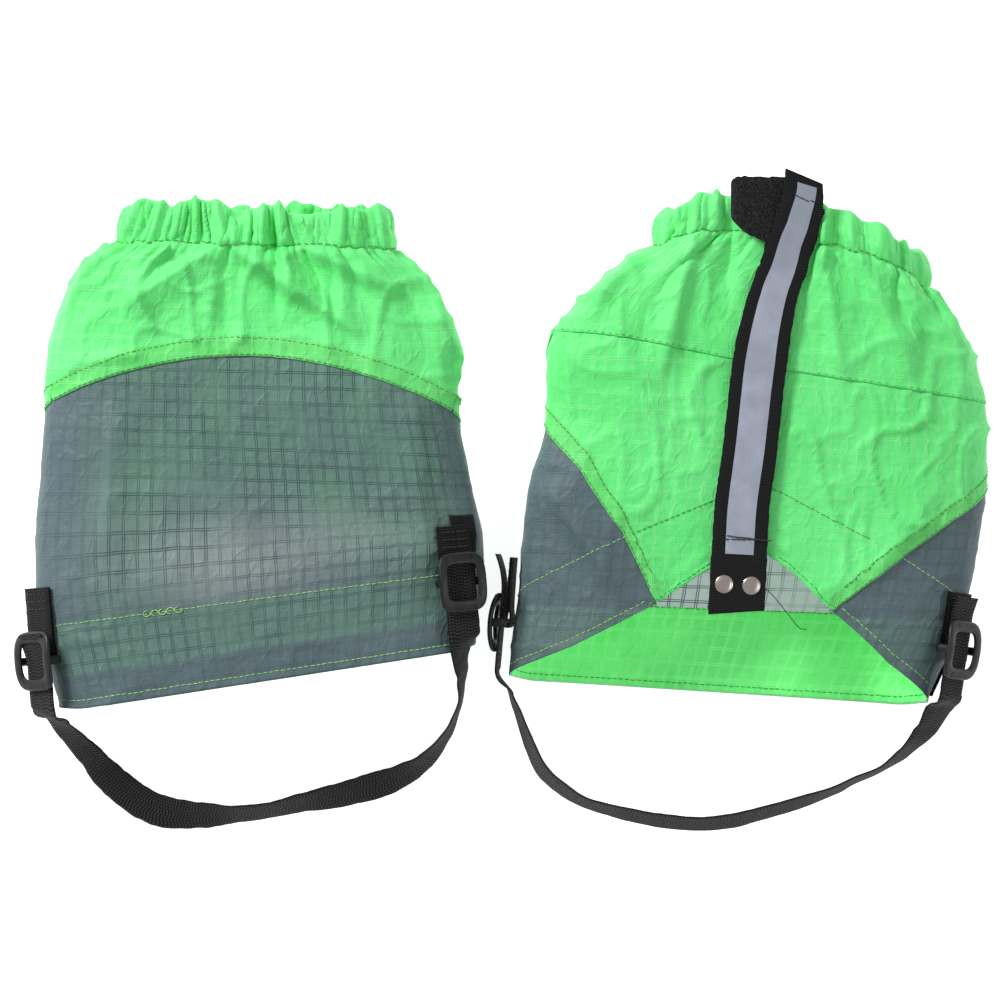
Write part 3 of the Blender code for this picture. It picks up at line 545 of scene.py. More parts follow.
class Look:
    """A material under construction: each call adds a shader node and gives its output."""

    def __init__(self, name):
        self.material = bpy.data.materials.new(name)
        self.material.use_nodes = True
        self.tree = self.material.node_tree
        self.tree.nodes.clear()

    def put(self, node, socket, value):
        if isinstance(value, bpy.types.NodeSocket):
            self.tree.links.new(value, node.inputs[socket])
        elif value is not None:
            node.inputs[socket].default_value = value

    def node(self, kind, sockets, settings=None):
        made = self.tree.nodes.new("ShaderNode" + kind)
        for key, value in (settings or {}).items():
            setattr(made, key, value)
        for socket, value in sockets.items():
            self.put(made, socket, value)
        return made

    def math(self, operation, first, second=0.0, third=0.0):
        return self.node("Math", {0: first, 1: second, 2: third}, {"operation": operation}).outputs[0]

    def times(self, first, second):
        return self.math("MULTIPLY", first, second)

    def plus(self, first, second):
        return self.math("ADD", first, second)

    def away(self, value, middle):
        """How far a value is from a middle one."""
        return self.math("ABSOLUTE", self.math("SUBTRACT", value, middle))

    def ramp(self, value, low, high, start=0.0, end=1.0):
        sockets = {"Value": value, "From Min": low, "From Max": high, "To Min": start, "To Max": end}
        return self.node("MapRange", sockets, {"interpolation_type": "SMOOTHSTEP"}).outputs[0]

    def mix(self, share, first, second, blend="MIX"):
        made = self.node("Mix", {0: share, 6: first, 7: second}, {"data_type": "RGBA", "blend_type": blend})
        return made.outputs[2]

    def cloth(self):
        """Place on the cloth in metres, as three numbers."""
        return self.node("UVMap", {}, {"uv_map": "cloth"}).outputs[0]

    def noise(self, where, scale, detail=2.0, stretch=(1, 1, 1)):
        moved = self.node("Mapping", {0: where, 3: stretch}).outputs[0]
        return self.node("TexNoise", {"Vector": moved, "Scale": scale, "Detail": detail}).outputs[0]

    def axes(self, where):
        return self.node("SeparateXYZ", {0: where}).outputs

    def lines(self, value, pitch, half_gap, width):
        """Pairs of thin lines across an axis: 1 on a line, 0 off it."""
        place = self.away(self.math("FLOORED_MODULO", value, pitch), pitch / 2)
        return self.ramp(self.away(place, half_gap), width * 0.35, width, 1.0, 0.0)

    def bump(self, height, distance, strength=1.0, under=None):
        sockets = {"Height": height, "Distance": distance, "Strength": strength, "Normal": under}
        return self.node("Bump", sockets).outputs[0]

    def shade(self, **values):
        names = {"color": "Base Color", "roughness": "Roughness", "metallic": "Metallic", "normal": "Normal"}
        names.update({"sheen": "Sheen Weight", "sheen_tint": "Sheen Tint", "coat": "Coat Weight"})
        names.update({"specular": "Specular IOR Level", "through": "Transmission Weight"})
        return self.node("BsdfPrincipled", {names[key]: value for key, value in values.items()}).outputs[0]

    def finish(self, shader):
        self.node("OutputMaterial", {"Surface": shader})
        return self.material


def ripstop(name, base, dark, line, line_share, glow, painted_glow=0.0, behind=None):
    """Thin woven nylon with a grid of doubled heavier threads.

    line_share is how strongly the grid's own colour shows, glow the share of light that comes
    through the cloth and painted_glow the strength of a painted glow, an emission that stands in
    for the light of the table behind it. behind names a colour attribute that is painted into the
    colour: its red share shows green cloth through, its green share paints in the light of the
    white floor.
    """
    look = Look(name)
    where = look.cloth()
    x, y, _ = look.axes(where)
    wobble = look.times(look.math("SUBTRACT", look.noise(where, 95, 2), 0.5), 0.0011)
    sway = look.times(look.math("SUBTRACT", look.noise(where, 70, 2, (1, 1.3, 2)), 0.5), 0.0013)
    wide = look.lines(look.plus(x, wobble), GRID_ACROSS, GRID_GAP, GRID_THREAD)
    tall = look.lines(look.plus(y, sway), GRID_UP, GRID_GAP, GRID_THREAD)
    grid = look.math("MAXIMUM", wide, tall)
    cross = look.times(wide, tall)
    patchy = look.ramp(look.noise(where, 38, 3), 0.34, 0.62, 0.30, 1.0)
    grid_share = look.times(look.times(grid, patchy), line_share)
    cloudy = look.ramp(look.noise(where, 24, 4), 0.34, 0.70)
    colour = look.mix(look.times(cloudy, 0.55), base, dark)
    if behind:
        seen = look.node("Attribute", {}, {"attribute_name": behind, "attribute_type": "GEOMETRY"})
        parts = look.node("SeparateColor", {0: seen.outputs[0]}).outputs
        clear = look.plus(look.times(parts[0], 1.6), look.times(parts[1], 1.2))
        grid_share = look.times(grid_share, look.ramp(clear, 0.0, 0.9, 0.36, 1.0))
        colour = look.mix(parts[0], colour, paint(103, 150, 122))
        # Painted light: where the white floor shows through, the cloth and its grid lines turn whiter.
        colour = look.mix(parts[1], colour, paint(160, 172, 168))
        line = look.mix(look.times(parts[1], 0.35), line, paint(88, 104, 104))
    threads = look.noise(where, 1900, 1, (1, 0.06, 1))
    fill = look.noise(where, 1900, 1, (0.06, 1, 1))
    weave = look.plus(look.times(threads, 0.5), look.times(fill, 0.5))
    colour = look.mix(look.ramp(weave, 0.36, 0.66, 0.16, 0.0), colour, dark, "MULTIPLY")
    colour = look.mix(grid_share, colour, line)
    crinkle = look.noise(where, 150, 4)
    creases = look.noise(where, 62, 3, (1, 0.55, 1))
    sharp = look.away(look.noise(where, 85, 2, (1, 0.7, 1)), 0.5)
    normal = look.bump(creases, 0.0022, 0.6)
    normal = look.bump(look.ramp(sharp, 0.0, 0.06, 1.0, 0.0), 0.00035, 0.5, normal)
    normal = look.bump(crinkle, 0.0010, 0.6, normal)
    normal = look.bump(look.plus(grid, cross), 0.00012, 0.5, normal)
    normal = look.bump(weave, 0.00010, 0.45, normal)
    surface = look.shade(color=colour, roughness=0.55, normal=normal, sheen=0.12, specular=0.32)
    # Painted glow: an emission that stands in for the light of the table coming through the thin cloth.
    if painted_glow:
        through = look.node("Emission", {"Color": colour, "Strength": painted_glow}).outputs[0]
        surface = look.node("AddShader", {0: surface, 1: through}).outputs[0]
    if glow:
        back = look.node("BsdfTranslucent", {"Color": colour, "Normal": normal}).outputs[0]
        surface = look.node("MixShader", {0: glow, 1: surface, 2: back}).outputs[0]
    return look.finish(surface)


def webbing_look(name, base, highlight_and_wear, pitch=0.0011, slant=0.5):
    """Polyester webbing: ribs along the length, crossed by a slanting twill."""
    look = Look(name)
    where = look.cloth()
    x, y, _ = look.axes(where)
    lean = look.times(look.math("PINGPONG", x, pitch * 2), slant)
    rise = look.math("FLOORED_MODULO", look.plus(y, lean), pitch)
    twill = look.ramp(look.away(rise, pitch / 2), 0.0, pitch / 2, 1.0, 0.0)
    rib = look.math("ABSOLUTE", look.math("SINE", look.times(x, pi / pitch)))
    height = look.times(twill, look.math("POWER", rib, 0.6))
    fuzz = look.noise(where, 2600, 3)
    # Painted highlight: the raised threads of the twill and ribs take the lighter colour.
    colour = look.mix(look.times(look.ramp(height, 0.25, 0.95), 0.8), base, highlight_and_wear)
    colour = look.mix(look.ramp(fuzz, 0.60, 0.78, 0.0, 0.2), colour, paint(84, 84, 86))
    normal = look.bump(height, 0.00035, 0.9)
    normal = look.bump(fuzz, 0.00010, 0.5, normal)
    shader = look.shade(color=colour, roughness=0.82, normal=normal, sheen=0.1, specular=0.22)
    return look.finish(shader)


def fuzzy_look(name, base):
    """The tangled face of loop tape."""
    look = Look(name)
    where = look.cloth()
    tangle = look.node("TexVoronoi", {"Vector": where, "Scale": 1300}, {"feature": "F1"}).outputs[0]
    fuzz = look.noise(where, 1700, 4)
    height = look.plus(tangle, fuzz)
    colour = look.mix(look.ramp(height, 0.7, 1.3, 0.0, 0.7), base, paint(52, 53, 55))
    normal = look.bump(height, 0.0005, 1.0)
    return look.finish(look.shade(color=colour, roughness=0.95, normal=normal, sheen=0.12, specular=0.12))


def tape_look(name):
    """Silver reflective tape: fine ribs across it, with faint handling marks."""
    look = Look(name)
    where = look.cloth()
    y = look.axes(where)[1]
    rib = look.math("SINE", look.times(y, 2 * pi / 0.00055))
    beads = look.noise(where, 5200, 1)
    cloud = look.noise(where, 60, 3)
    colour = look.mix(look.ramp(cloud, 0.3, 0.7), paint(146, 152, 168), paint(166, 172, 190))
    # Painted highlight: the crests of the fine ribs are lighter.
    colour = look.mix(look.ramp(rib, -0.2, 0.9, 0.0, 0.22), colour, paint(205, 208, 222))
    colour = look.mix(look.ramp(beads, 0.58, 0.75, 0.0, 0.3), colour, paint(118, 122, 138))
    colour = look.mix(look.ramp(y, 0.10, 0.18, 0.0, 0.55), colour, paint(128, 132, 144))
    normal = look.bump(rib, 0.00006, 0.7)
    return look.finish(look.shade(color=colour, roughness=0.42, metallic=0.15, normal=normal, specular=0.5))


def solid_look(name, base, roughness, metallic=0.0, grain=900.0, depth=0.00008, highlight_and_wear=None):
    """Moulded plastic or metal with a fine grain and rubbed places."""
    look = Look(name)
    where = look.node("TexCoord", {}).outputs["Object"]
    fine = look.noise(where, grain, 3)
    broad = look.noise(where, 160, 3)
    colour = look.mix(look.ramp(broad, 0.35, 0.7, 0.0, 0.5), base, highlight_and_wear or base)
    rough = look.ramp(broad, 0.3, 0.7, roughness - 0.08, roughness + 0.1)
    normal = look.bump(fine, depth, 0.6)
    return look.finish(look.shade(color=colour, roughness=rough, metallic=metallic, normal=normal))


def thread_look(name, base, shaded):
    """Twisted sewing thread."""
    look = Look(name)
    where = look.node("TexCoord", {}).outputs["Object"]
    twist = look.noise(where, 2400, 2)
    colour = look.mix(look.ramp(twist, 0.35, 0.65), shaded, base)
    normal = look.bump(twist, 0.0001, 0.7)
    return look.finish(look.shade(color=colour, roughness=0.6, normal=normal, sheen=0.2))


GREENS = (paint(121, 248, 147), paint(94, 233, 118), paint(160, 253, 180))
SEAM_GREENS = (paint(112, 232, 124), paint(82, 208, 92), paint(150, 244, 164))
# Painted light: the inside greys are a far paler copy of the outer greys, and both inside looks add a
# painted glow, for the light of the table that comes through the thin cloth.
INSIDE_GREENS = (paint(116, 234, 130), paint(88, 212, 104), paint(146, 246, 158))
GREYS = (paint(94, 114, 118), paint(80, 99, 107), paint(56, 74, 84))
PAINTED_LIGHT_INSIDE_GREYS = (paint(180, 184, 190), paint(164, 170, 178), paint(84, 90, 98))
GREEN = ripstop("green_ripstop", *GREENS, 0.42, 0.2)
GREEN_BAND = ripstop("green_seam", *SEAM_GREENS, 0.6, 0.15)
GREEN_INSIDE_PAINTED_GLOW = ripstop("green_inside", *INSIDE_GREENS, 0.6, 0.1, 0.34)
GREY = ripstop("grey_ripstop", *GREYS, 0.85, 0.1, behind="behind")
GREY_INSIDE_PAINTED_LIGHT = ripstop("grey_inside", *PAINTED_LIGHT_INSIDE_GREYS, 1.0, 0.1, 0.62)
# The second colour of each webbing is a painted highlight on its raised threads; for nickel and plastic it
# is their rubbed places.
WEBBING = webbing_look("black_webbing", paint(7, 8, 8), paint(30, 31, 32), 0.0012, 0.25)
STRAP = webbing_look("strap_webbing", paint(10, 10, 11), paint(66, 66, 68), 0.0015, 0.35)
LOOPS = fuzzy_look("black_hook_tape", paint(7, 7, 8))
REFLECTOR = tape_look("reflective_tape")
NICKEL = solid_look("nickel", paint(208, 196, 192), 0.22, 1.0, 700, 0.00004, paint(176, 158, 152))
PLASTIC = solid_look("black_acetal", paint(12, 13, 14), 0.48, 0.0, 1500, 0.00007, paint(24, 25, 27))
GREEN_THREAD = thread_look("green_thread", paint(66, 190, 70), paint(38, 140, 44))
DARK_THREAD = thread_look("dark_thread", paint(80, 168, 66), paint(54, 122, 44))
LIGHT_THREAD = thread_look("light_thread", paint(168, 226, 132), paint(120, 186, 92))
BLACK_THREAD = thread_look("black_thread", paint(26, 26, 27), paint(14, 14, 14))


def done(made, material, body, nodes=()):
    """Gives a piece its material and its body, and hides the CAD nodes it stands for."""
    if material:
        made.data.materials.clear()
        made.data.materials.append(material)
    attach(made, body)
    if nodes:
        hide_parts(*nodes)
    return made


def ring_faces(rings, sides):
    """Faces of a rod of rings, closed at both ends."""
    faces = []
    for ring in range(rings - 1):
        for k in range(sides):
            a, b = ring * sides + k, ring * sides + (k + 1) % sides
            faces.append((a, b, b + sides, a + sides))
    faces.append(tuple(range(sides - 1, -1, -1)))
    faces.append(tuple(range((rings - 1) * sides, rings * sides)))
    return faces


def tube(path, radius, sides=6, flat=1.0, ups=None):
    """Points and faces of a round thread along a path of points, closed at both ends."""
    path = np.asarray(path, float)
    count = len(path)
    tangent = np.gradient(path, axis=0)
    tangent /= np.linalg.norm(tangent, axis=1, keepdims=True) + 1e-12
    lift = np.tile([0.0, 0.0, 1.0], (count, 1)) if ups is None else np.asarray(ups)
    side = np.cross(tangent, lift)
    weak = np.linalg.norm(side, axis=1) < 1e-3
    side[weak] = np.cross(tangent[weak], [1.0, 0.0, 0.0])
    side /= np.linalg.norm(side, axis=1, keepdims=True)
    lift = np.cross(side, tangent)
    turns = np.arange(sides) * 2 * pi / sides
    radii = np.broadcast_to(np.asarray(radius, float), (count,))[:, None, None]
    ring = side[:, None] * np.cos(turns)[None, :, None] + lift[:, None] * np.sin(turns)[None, :, None] * flat
    return (path[:, None] + ring * radii).reshape(-1, 3), ring_faces(count, sides)


def bundle(name, parts):
    """One mesh from several (points, faces) pairs."""
    points, faces, start = [], [], 0
    for some_points, some_faces in parts:
        points.append(np.asarray(some_points))
        faces += [tuple(int(i) + start for i in face) for face in some_faces]
        start += len(some_points)
    return mesh_object(name, np.concatenate(points), faces)


def stitch_parts(path, ups, pitch=0.0028, length=0.0023, radius=0.00022, sink=0.00018, seed=1):
    """Short threads, one after another, along a dense path on the cloth."""
    path, ups = np.asarray(path), np.asarray(ups)
    steps = lengths_along(path)
    random = np.random.RandomState(seed)
    parts = []
    start = pitch * 0.3
    while start + length < steps[-1]:
        reach = length * random.uniform(0.86, 1.08)
        at = start + np.array([0.0, 0.18, 0.5, 0.82, 1.0]) * reach
        points = look_up(at, steps, path)
        lift = look_up(at, steps, ups)
        side = np.cross(points[-1] - points[0], lift[2])
        side /= np.linalg.norm(side) + 1e-12
        points += side * random.uniform(-0.00012, 0.00012)
        height = np.array([-1.0, 0.3, 0.75, 0.3, -1.0])[:, None] * sink
        radii = radius * np.array([0.55, 1.0, 1.05, 1.0, 0.55])
        parts.append(tube(points + lift * height, radii, 6, 0.8, lift))
        start += pitch * random.uniform(0.93, 1.07)
    return parts


def seam(gaiter, around, up, out, **thread):
    """Stitches on the cloth along arrays of places."""
    around, up = np.broadcast_arrays(np.asarray(around, float), np.asarray(up, float))
    path = gaiter.at(up, around, out)
    return stitch_parts(path, gaiter.normal_at(up, around) * (1 if np.mean(out) >= 0 else -1), **thread)


def see_through(made, around, up, gaiter):
    """Marks what shows behind the thin grey cloth, to be painted into its colour: green facing and front, or
    the light of the white floor.
    """
    back = smoothstep(0.50, 0.60, from_front(around))
    # Millimetres from the middle of the back and up from the hem.
    x = (around - 1.0) / MM_AROUND
    y = up / MM_UP
    facing = (1 - smoothstep(FACING_UP / MM_UP - 1.2, FACING_UP / MM_UP, y)) * smoothstep(13.0, 14.0, y)
    # The green front lies behind the back above the arch of its hem, darker towards one side.
    arch = np.interp(np.abs(x) * MM_AROUND, [0.0, 0.08, 0.18, 0.34, 0.47], [68, 57, 40, 17, 3])
    to_right = np.sign(gaiter.at(0.4, 1.3)[0] - gaiter.at(0.4, 0.7)[0])
    shade = x * to_right
    behind = smoothstep(-6, 26, y - arch) * (1 - smoothstep(78, 100, shade)) * smoothstep(-92, -52, shade)
    soft = 0.5 + 0.5 * lumps(x / 17, y / 21, 41)
    green = back * np.maximum(facing * 0.42, behind * (0.30 + 0.45 * soft) * (1 - facing))
    # Painted light: the white floor shows through the open arch and whitens the cloth.
    floor_light_at = np.exp(-(((x + 4) / 58) ** 2 + ((y - 57) / 20) ** 2))
    painted_floor_light = back * floor_light_at * (1 - facing) * (0.45 + 0.4 * soft)
    green = np.maximum(green, (1 - back) * facing * 0.22)
    values = np.stack([np.clip(green * (1 - painted_floor_light), 0, 1), np.clip(painted_floor_light, 0, 1), 0 * painted_floor_light, 0 * painted_floor_light + 1], -1)
    values = values.reshape(-1, 4)
    layer = made.data.color_attributes.new("behind", "FLOAT_COLOR", "POINT")
    layer.data.foreach_set("color", np.concatenate([values, values]).astype(np.float32).ravel())


def body_of_cloth(gaiter):
    """The sewn tube: grey back, green front and yoke, gathered cuff, facings and seams."""
    name = gaiter.name
    body = f"{name}_gaiter"

    def two_looks(made, first, second, chosen):
        """Gives a piece two materials, the second one on its chosen faces."""
        made.data.materials.append(first)
        made.data.materials.append(second)
        index = np.zeros(len(made.data.polygons), np.int32)
        index[: len(chosen)] = chosen
        made.data.polygons.foreach_set("material_index", index)

    def green_piece(label, up, around, low, folded, node):
        """Green cloth, raised and darker along its lower edge where it is folded under."""
        outer = 0.0006 + 0.0006 * (1 - smoothstep(BAND * 0.8, BAND * 1.5, up - low(around)))
        made = cloth_piece(f"{name}_green_{label}", gaiter, up, around, outer, outer - 0.0005)
        two_looks(made, GREEN, GREEN_BAND, folded[:-1, :-1].ravel())
        done(made, None, body, (f"{name}_{node}",))

    # Grey back, running under the green edge at the top, paler on its inner faces: the inner faces carry
    # painted light, a much paler grey and a painted glow, for the light of the table that comes through the
    # thin cloth.
    up, around = patch(0.18, 1.82, hem, lambda a: gaiter.seam(a) + 0.7 * BAND)
    made = cloth_piece(f"{name}_grey_back", gaiter, up, around, 0.0005, 0.0001)
    see_through(made, around, up, gaiter)
    two_looks(made, GREY, GREY_INSIDE_PAINTED_LIGHT, np.repeat([0, 1], (up.shape[0] - 1) * (up.shape[1] - 1)))
    done(made, None, body, (f"{name}_back_panel",))

    # Green yoke above the grey, round the back and over the front.
    start, end = opening(gaiter, 1), opening(gaiter, -1)
    up, around = patch(start, end, gaiter.yoke_line, lambda a: a * 0 + CUFF_START + 0.002)
    folded = (up - gaiter.seam(around) < BAND * 1.02) & (from_front(around) > 0.53)
    green_piece("yoke", up, around, gaiter.yoke_line, folded, "yoke")

    def front_foot(around):
        """Lower edge of the front: the arch, then the seam with the grey."""
        return np.maximum(hem(around), np.where(from_front(around) > 0.16, gaiter.seam(around), 0.0))

    for side, first, last in (("left", 1.46, end), ("right", start, 0.54)):
        up, around = patch(first, last, front_foot, gaiter.yoke_line)
        folded = (up - gaiter.seam(around) < BAND * 1.02) & (from_front(around) > 0.17)
        green_piece(f"front_{side}", up, around, front_foot, folded, f"front_panel_{side}")
    cuff(gaiter, body)
    facings(gaiter, body)
    seams(gaiter, body)


def cuff(gaiter, body):
    """The gathered casing: a soft roll, outer wall up, over the top and down inside."""
    name = gaiter.name
    steps = np.array([0.0, 0.02, 0.06, 0.12, 0.2, 0.3, 0.4, 0.5, 0.6, 0.7, 0.79, 0.87, 0.93, 0.975, 1.0])
    outer_up = CUFF_START + (1.0 - CUFF_START) * np.concatenate([steps, steps[::-1]])
    edge = np.sqrt(np.clip(1 - ((steps - 0.86) / 0.14).clip(0, 1) ** 2, 0, 1))
    middle = -0.0009
    half = 0.0017
    outs = np.concatenate([middle + half * edge, middle - half * edge[::-1]])
    columns = 560
    share = np.linspace(0, 1, columns)
    up = np.repeat(outer_up[:, None], columns, 1)
    start, end = opening(gaiter, 1)(up), opening(gaiter, -1)(up)
    around = start + (end - start) * share[None, :]
    points = gaiter.at(up, around, outs[:, None])
    rows = len(outer_up)
    r, c = np.meshgrid(np.arange(rows), np.arange(columns - 1), indexing="ij")
    a = (r * columns + c).ravel()
    b = (((r + 1) % rows) * columns + c).ravel()
    faces = np.stack([a, a + 1, b + 1, b], 1).tolist()
    faces.append([row * columns for row in range(rows)])
    faces.append([row * columns + columns - 1 for row in range(rows)][::-1])
    places = np.stack([around * 0.30, up * LENGTH], -1)
    made = face_out(mesh_object(f"{name}_cuff", points, faces, places))
    done(made, GREEN, body, (f"{name}_cuff_casing", f"{name}_cuff_elastic"))


def facings(gaiter, body):
    """Green cloth inside the hem and behind the arch, and the binding of the front opening."""
    name = gaiter.name
    top = lambda a: a * 0 + FACING_UP + 0.004
    up, around = patch(0.5, 1.5, lambda a: hem(a) + 0.0015, top)
    sag = 0.0004 * lumps(around * 40, up * 40, 5)
    made = cloth_piece(f"{name}_hem_facing_cloth", gaiter, up, around, -0.0004 + sag * 0.2, -0.0010 + sag)
    done(made, GREEN_INSIDE_PAINTED_GLOW, body, (f"{name}_hem_facing",))
    for side, start, end in (("left", 1.5, 1.965), ("right", 0.035, 0.5)):
        high = lambda a: np.maximum(hem(a) + 0.004, facing_line(a))
        up, around = patch(start, end, lambda a: hem(a) + 0.0015, high)
        made = cloth_piece(f"{name}_arch_facing_{side}", gaiter, up, around, -0.0004, -0.0009)
        done(made, GREEN_INSIDE_PAINTED_GLOW, body, (f"{name}_front_facing_{side}",))
    for side, label, nodes in ((1, "right", (f"{name}_slit_binding",)), (-1, "left", ())):
        rows = np.linspace(0.30, 0.99, 160)
        up = np.repeat(rows[:, None], 5, 1)
        around = opening(gaiter, side)(rows)[:, None] + np.linspace(-1.6, 1.6, 5)[None, :] * MM_AROUND
        made = cloth_piece(f"{name}_opening_binding_{label}", gaiter, up, around, 0.0016, 0.0008)
        done(made, WEBBING, body, nodes)


def facing_line(around):
    """Upper edge of the arch facing at the front: it runs down to the side."""
    near = from_front(around)
    return np.interp(near, [0.0, 0.05, 0.26, 0.45, 0.5], [0.445, 0.425, 0.322, 0.216, 0.185])


def seams(gaiter, body):
    """Every line of stitching on the cloth, in three colours of thread."""
    name = gaiter.name
    dark, light, green = [], [], []

    def row(parts, around, up, millimetres, out, seed, **thread):
        """One row of stitches, so many millimetres above a line on the cloth."""
        parts += seam(gaiter, around, up + millimetres * MM_UP, out, seed=seed, **thread)

    edge = np.linspace(0.545, 1.455, 1900)
    row(dark, edge, gaiter.seam(edge), 0.9, 0.0013, 3)
    row(dark, edge, gaiter.seam(edge), 8.6, 0.0011, 3)
    for side in (0, 1):

        def run(start, end, count):
            """Places on one side of the front, with their distances from it."""
            near = np.linspace(start, end, count)
            return near, near if side == 0 else 2 - near

        _, around = run(0.195, 0.545, 900)
        row(dark, around, gaiter.seam(around), 0.9, 0.0013, 5 + side)
        row(dark, around, gaiter.seam(around), 8.6, 0.0013, 5 + side)
        # Join between the front and the yoke.
        _, around = run(0.10, 0.5, 700)
        faint = {"pitch": 0.0036, "length": 0.0020, "radius": 0.00015}
        row(green, around, gaiter.yoke_line(around), 0.9, 0.0012, 9 + side, **faint)
        # Edge of the arch: light thread on grey, green thread on green.
        near, around = run(0.20, 0.495, 900)
        row(light, around, hem(near), 4.2, 0.0006, 13 + side)
        near, around = run(0.05, 0.20, 500)
        row(green, around, hem(near), 2.0, 0.0013, 15 + side)
        # Top of the arch facing, seen as a slanting line outside.
        near, around = run(0.24, 0.5, 700)
        row(light, around, facing_line(near), -1.0, 0.0006, 17 + side)
        near, around = run(0.0, 0.24, 600)
        row(dark, around, facing_line(near), -1.0, 0.0008, 19 + side, radius=0.0002)
    back = np.linspace(0.5, 1.5, 2400)
    facing_top = np.full_like(back, FACING_UP)
    row(light, back, facing_top, 0.0, 0.0006, 23)
    row(light, back, hem(back), 4.0, 0.0006, 24)
    light += knots(gaiter)
    row(green, back, hem(back), 3.5, -0.0012, 25)
    row(green, back, facing_top, 0.66, -0.0011, 26)
    casing = np.linspace(0.08, 1.92, 4200)
    casing_foot = np.full_like(casing, CUFF_START)
    row(green, casing, casing_foot, 0.6, 0.0012, 27, pitch=0.0036, length=0.0028, radius=0.0003)
    threads = (("dark", dark, DARK_THREAD), ("light", light, LIGHT_THREAD), ("green", green, GREEN_THREAD))
    for label, parts, material in threads:
        done(bundle(f"{name}_stitches_{label}", parts), material, body)


def knots(gaiter):
    """A few snagged loops of thread on the upper hem stitching of the back."""
    parts = []
    for step in range(5):
        centre = 0.764 + 0.0165 * step
        turn = np.linspace(0, 1.5 * pi, 12)
        around = centre + 0.0017 * np.cos(turn) / HALF_GIRTH
        up = FACING_UP + 0.0013 * np.sin(turn) * (1 if step % 2 else -1) / LENGTH
        parts.append(tube(gaiter.at(up, around, 0.0009), 0.00024, 5))
    return parts


def band(name, centre, across, lift, width, thick, columns=15, rag=0.00012, seed=1, slant=0.0):
    """A woven band along a line, with rounded edges.

    across and lift are its directions at each point, rag is how uneven its edges are, and slant
    how far its rows run askew.
    """
    centre, across, lift = (np.asarray(values, float) for values in (centre, across, lift))
    rows = len(centre)
    steps = lengths_along(centre)
    share = np.linspace(-1, 1, columns)
    edge = np.sqrt(np.clip(1 - np.abs(share) ** 8, 0, 1)) * 0.5
    half = np.broadcast_to(np.asarray(width, float) / 2, (rows,))
    left = half + rag * lumps(steps / 0.0019, steps * 0, seed)
    right = half + rag * lumps(steps / 0.0023, steps * 0, seed + 1)
    x = share[None, :] * np.where(share[None, :] < 0, left[:, None], right[:, None])
    high, low = thick * edge[None, :], -thick * edge[None, :]
    tangent = unit(np.gradient(centre, axis=0))
    along = x * np.broadcast_to(np.asarray(slant, float), (rows,))[:, None]
    base = centre[:, None] + across[:, None] * x[..., None] + tangent[:, None] * along[..., None]
    points = np.concatenate([
        (base + lift[:, None] * high[..., None]).reshape(-1, 3),
        (base + lift[:, None] * low[..., None]).reshape(-1, 3),
    ])
    places = np.stack([x, np.repeat(steps[:, None], columns, 1)], -1).reshape(-1, 2)
    made = mesh_object(name, points, sheet_faces(rows, columns), np.concatenate([places, places]))
    return face_out(made)


def on_front(gaiter, low, high, out, aside=0.0):
    """Line along the flap from one share of its length to another, above the flat front."""
    path = gaiter.flap_line()
    steps = lengths_along(path)
    at = np.linspace(low, high, FLAP_ROWS) * steps[-1]
    height = gaiter.height + gaiter.facing * (HALF_HEIGHT + out)
    points = np.concatenate([look_up(at, steps, path), np.full((FLAP_ROWS, 1), height)], 1)
    tangent = unit(np.gradient(points, axis=0))
    lift = np.tile([0.0, 0.0, float(gaiter.facing)], (FLAP_ROWS, 1))
    across = unit(np.cross(tangent, lift))
    # The band rides over the gathers of the cuff and is never quite flat.
    share = at / steps[-1]
    rise = np.maximum(0.0004 * lumps(share * 22, share * 0, 8), -0.0001) * smoothstep(0.05, 0.15, share)
    if gaiter.facing > 0:
        rise = rise + 0.0026 * smoothstep(0.80, 0.92, share)
    points += lift * rise[:, None]
    points += across * np.broadcast_to(np.asarray(aside, float), (FLAP_ROWS,))[:, None]
    return share, points, across, lift


LOOP_END = (
    (0.0320, 0.2262, 0.0027, 0.0265), (0.0270, 0.2250, 0.0029, 0.0285), (0.0210, 0.2243, 0.0042, 0.0300),
    (0.0140, 0.2258, 0.0052, 0.0272), (0.0088, 0.2277, 0.0050, 0.0235), (0.0060, 0.2286, 0.0037, 0.0190),
    (0.0060, 0.2286, 0.0020, 0.0180), (0.0080, 0.2280, 0.0008, 0.0190), (0.0140, 0.2262, 0.0006, 0.0190),
)


def loop_end(gaiter):
    """Free end of the loop tape, doubled back on itself beside the flap: x, y, height, width."""
    line = smooth_line(LOOP_END, 120)
    base = np.array([gaiter.x, gaiter.y, gaiter.height + HALF_HEIGHT])
    points = line[:, :3] + base
    across = np.tile([0.0, -1.0, 0.0], (len(points), 1))
    tangent = unit(np.gradient(points, axis=0))
    lift = unit(np.cross(across, tangent))
    lift *= np.sign(lift[0, 2])
    made = band(f"{gaiter.name}_loop_end", points, across, lift, line[:, 3], 0.0010, 21, 0.0004, seed=71)
    done(made, LOOPS, f"{gaiter.name}_gaiter")


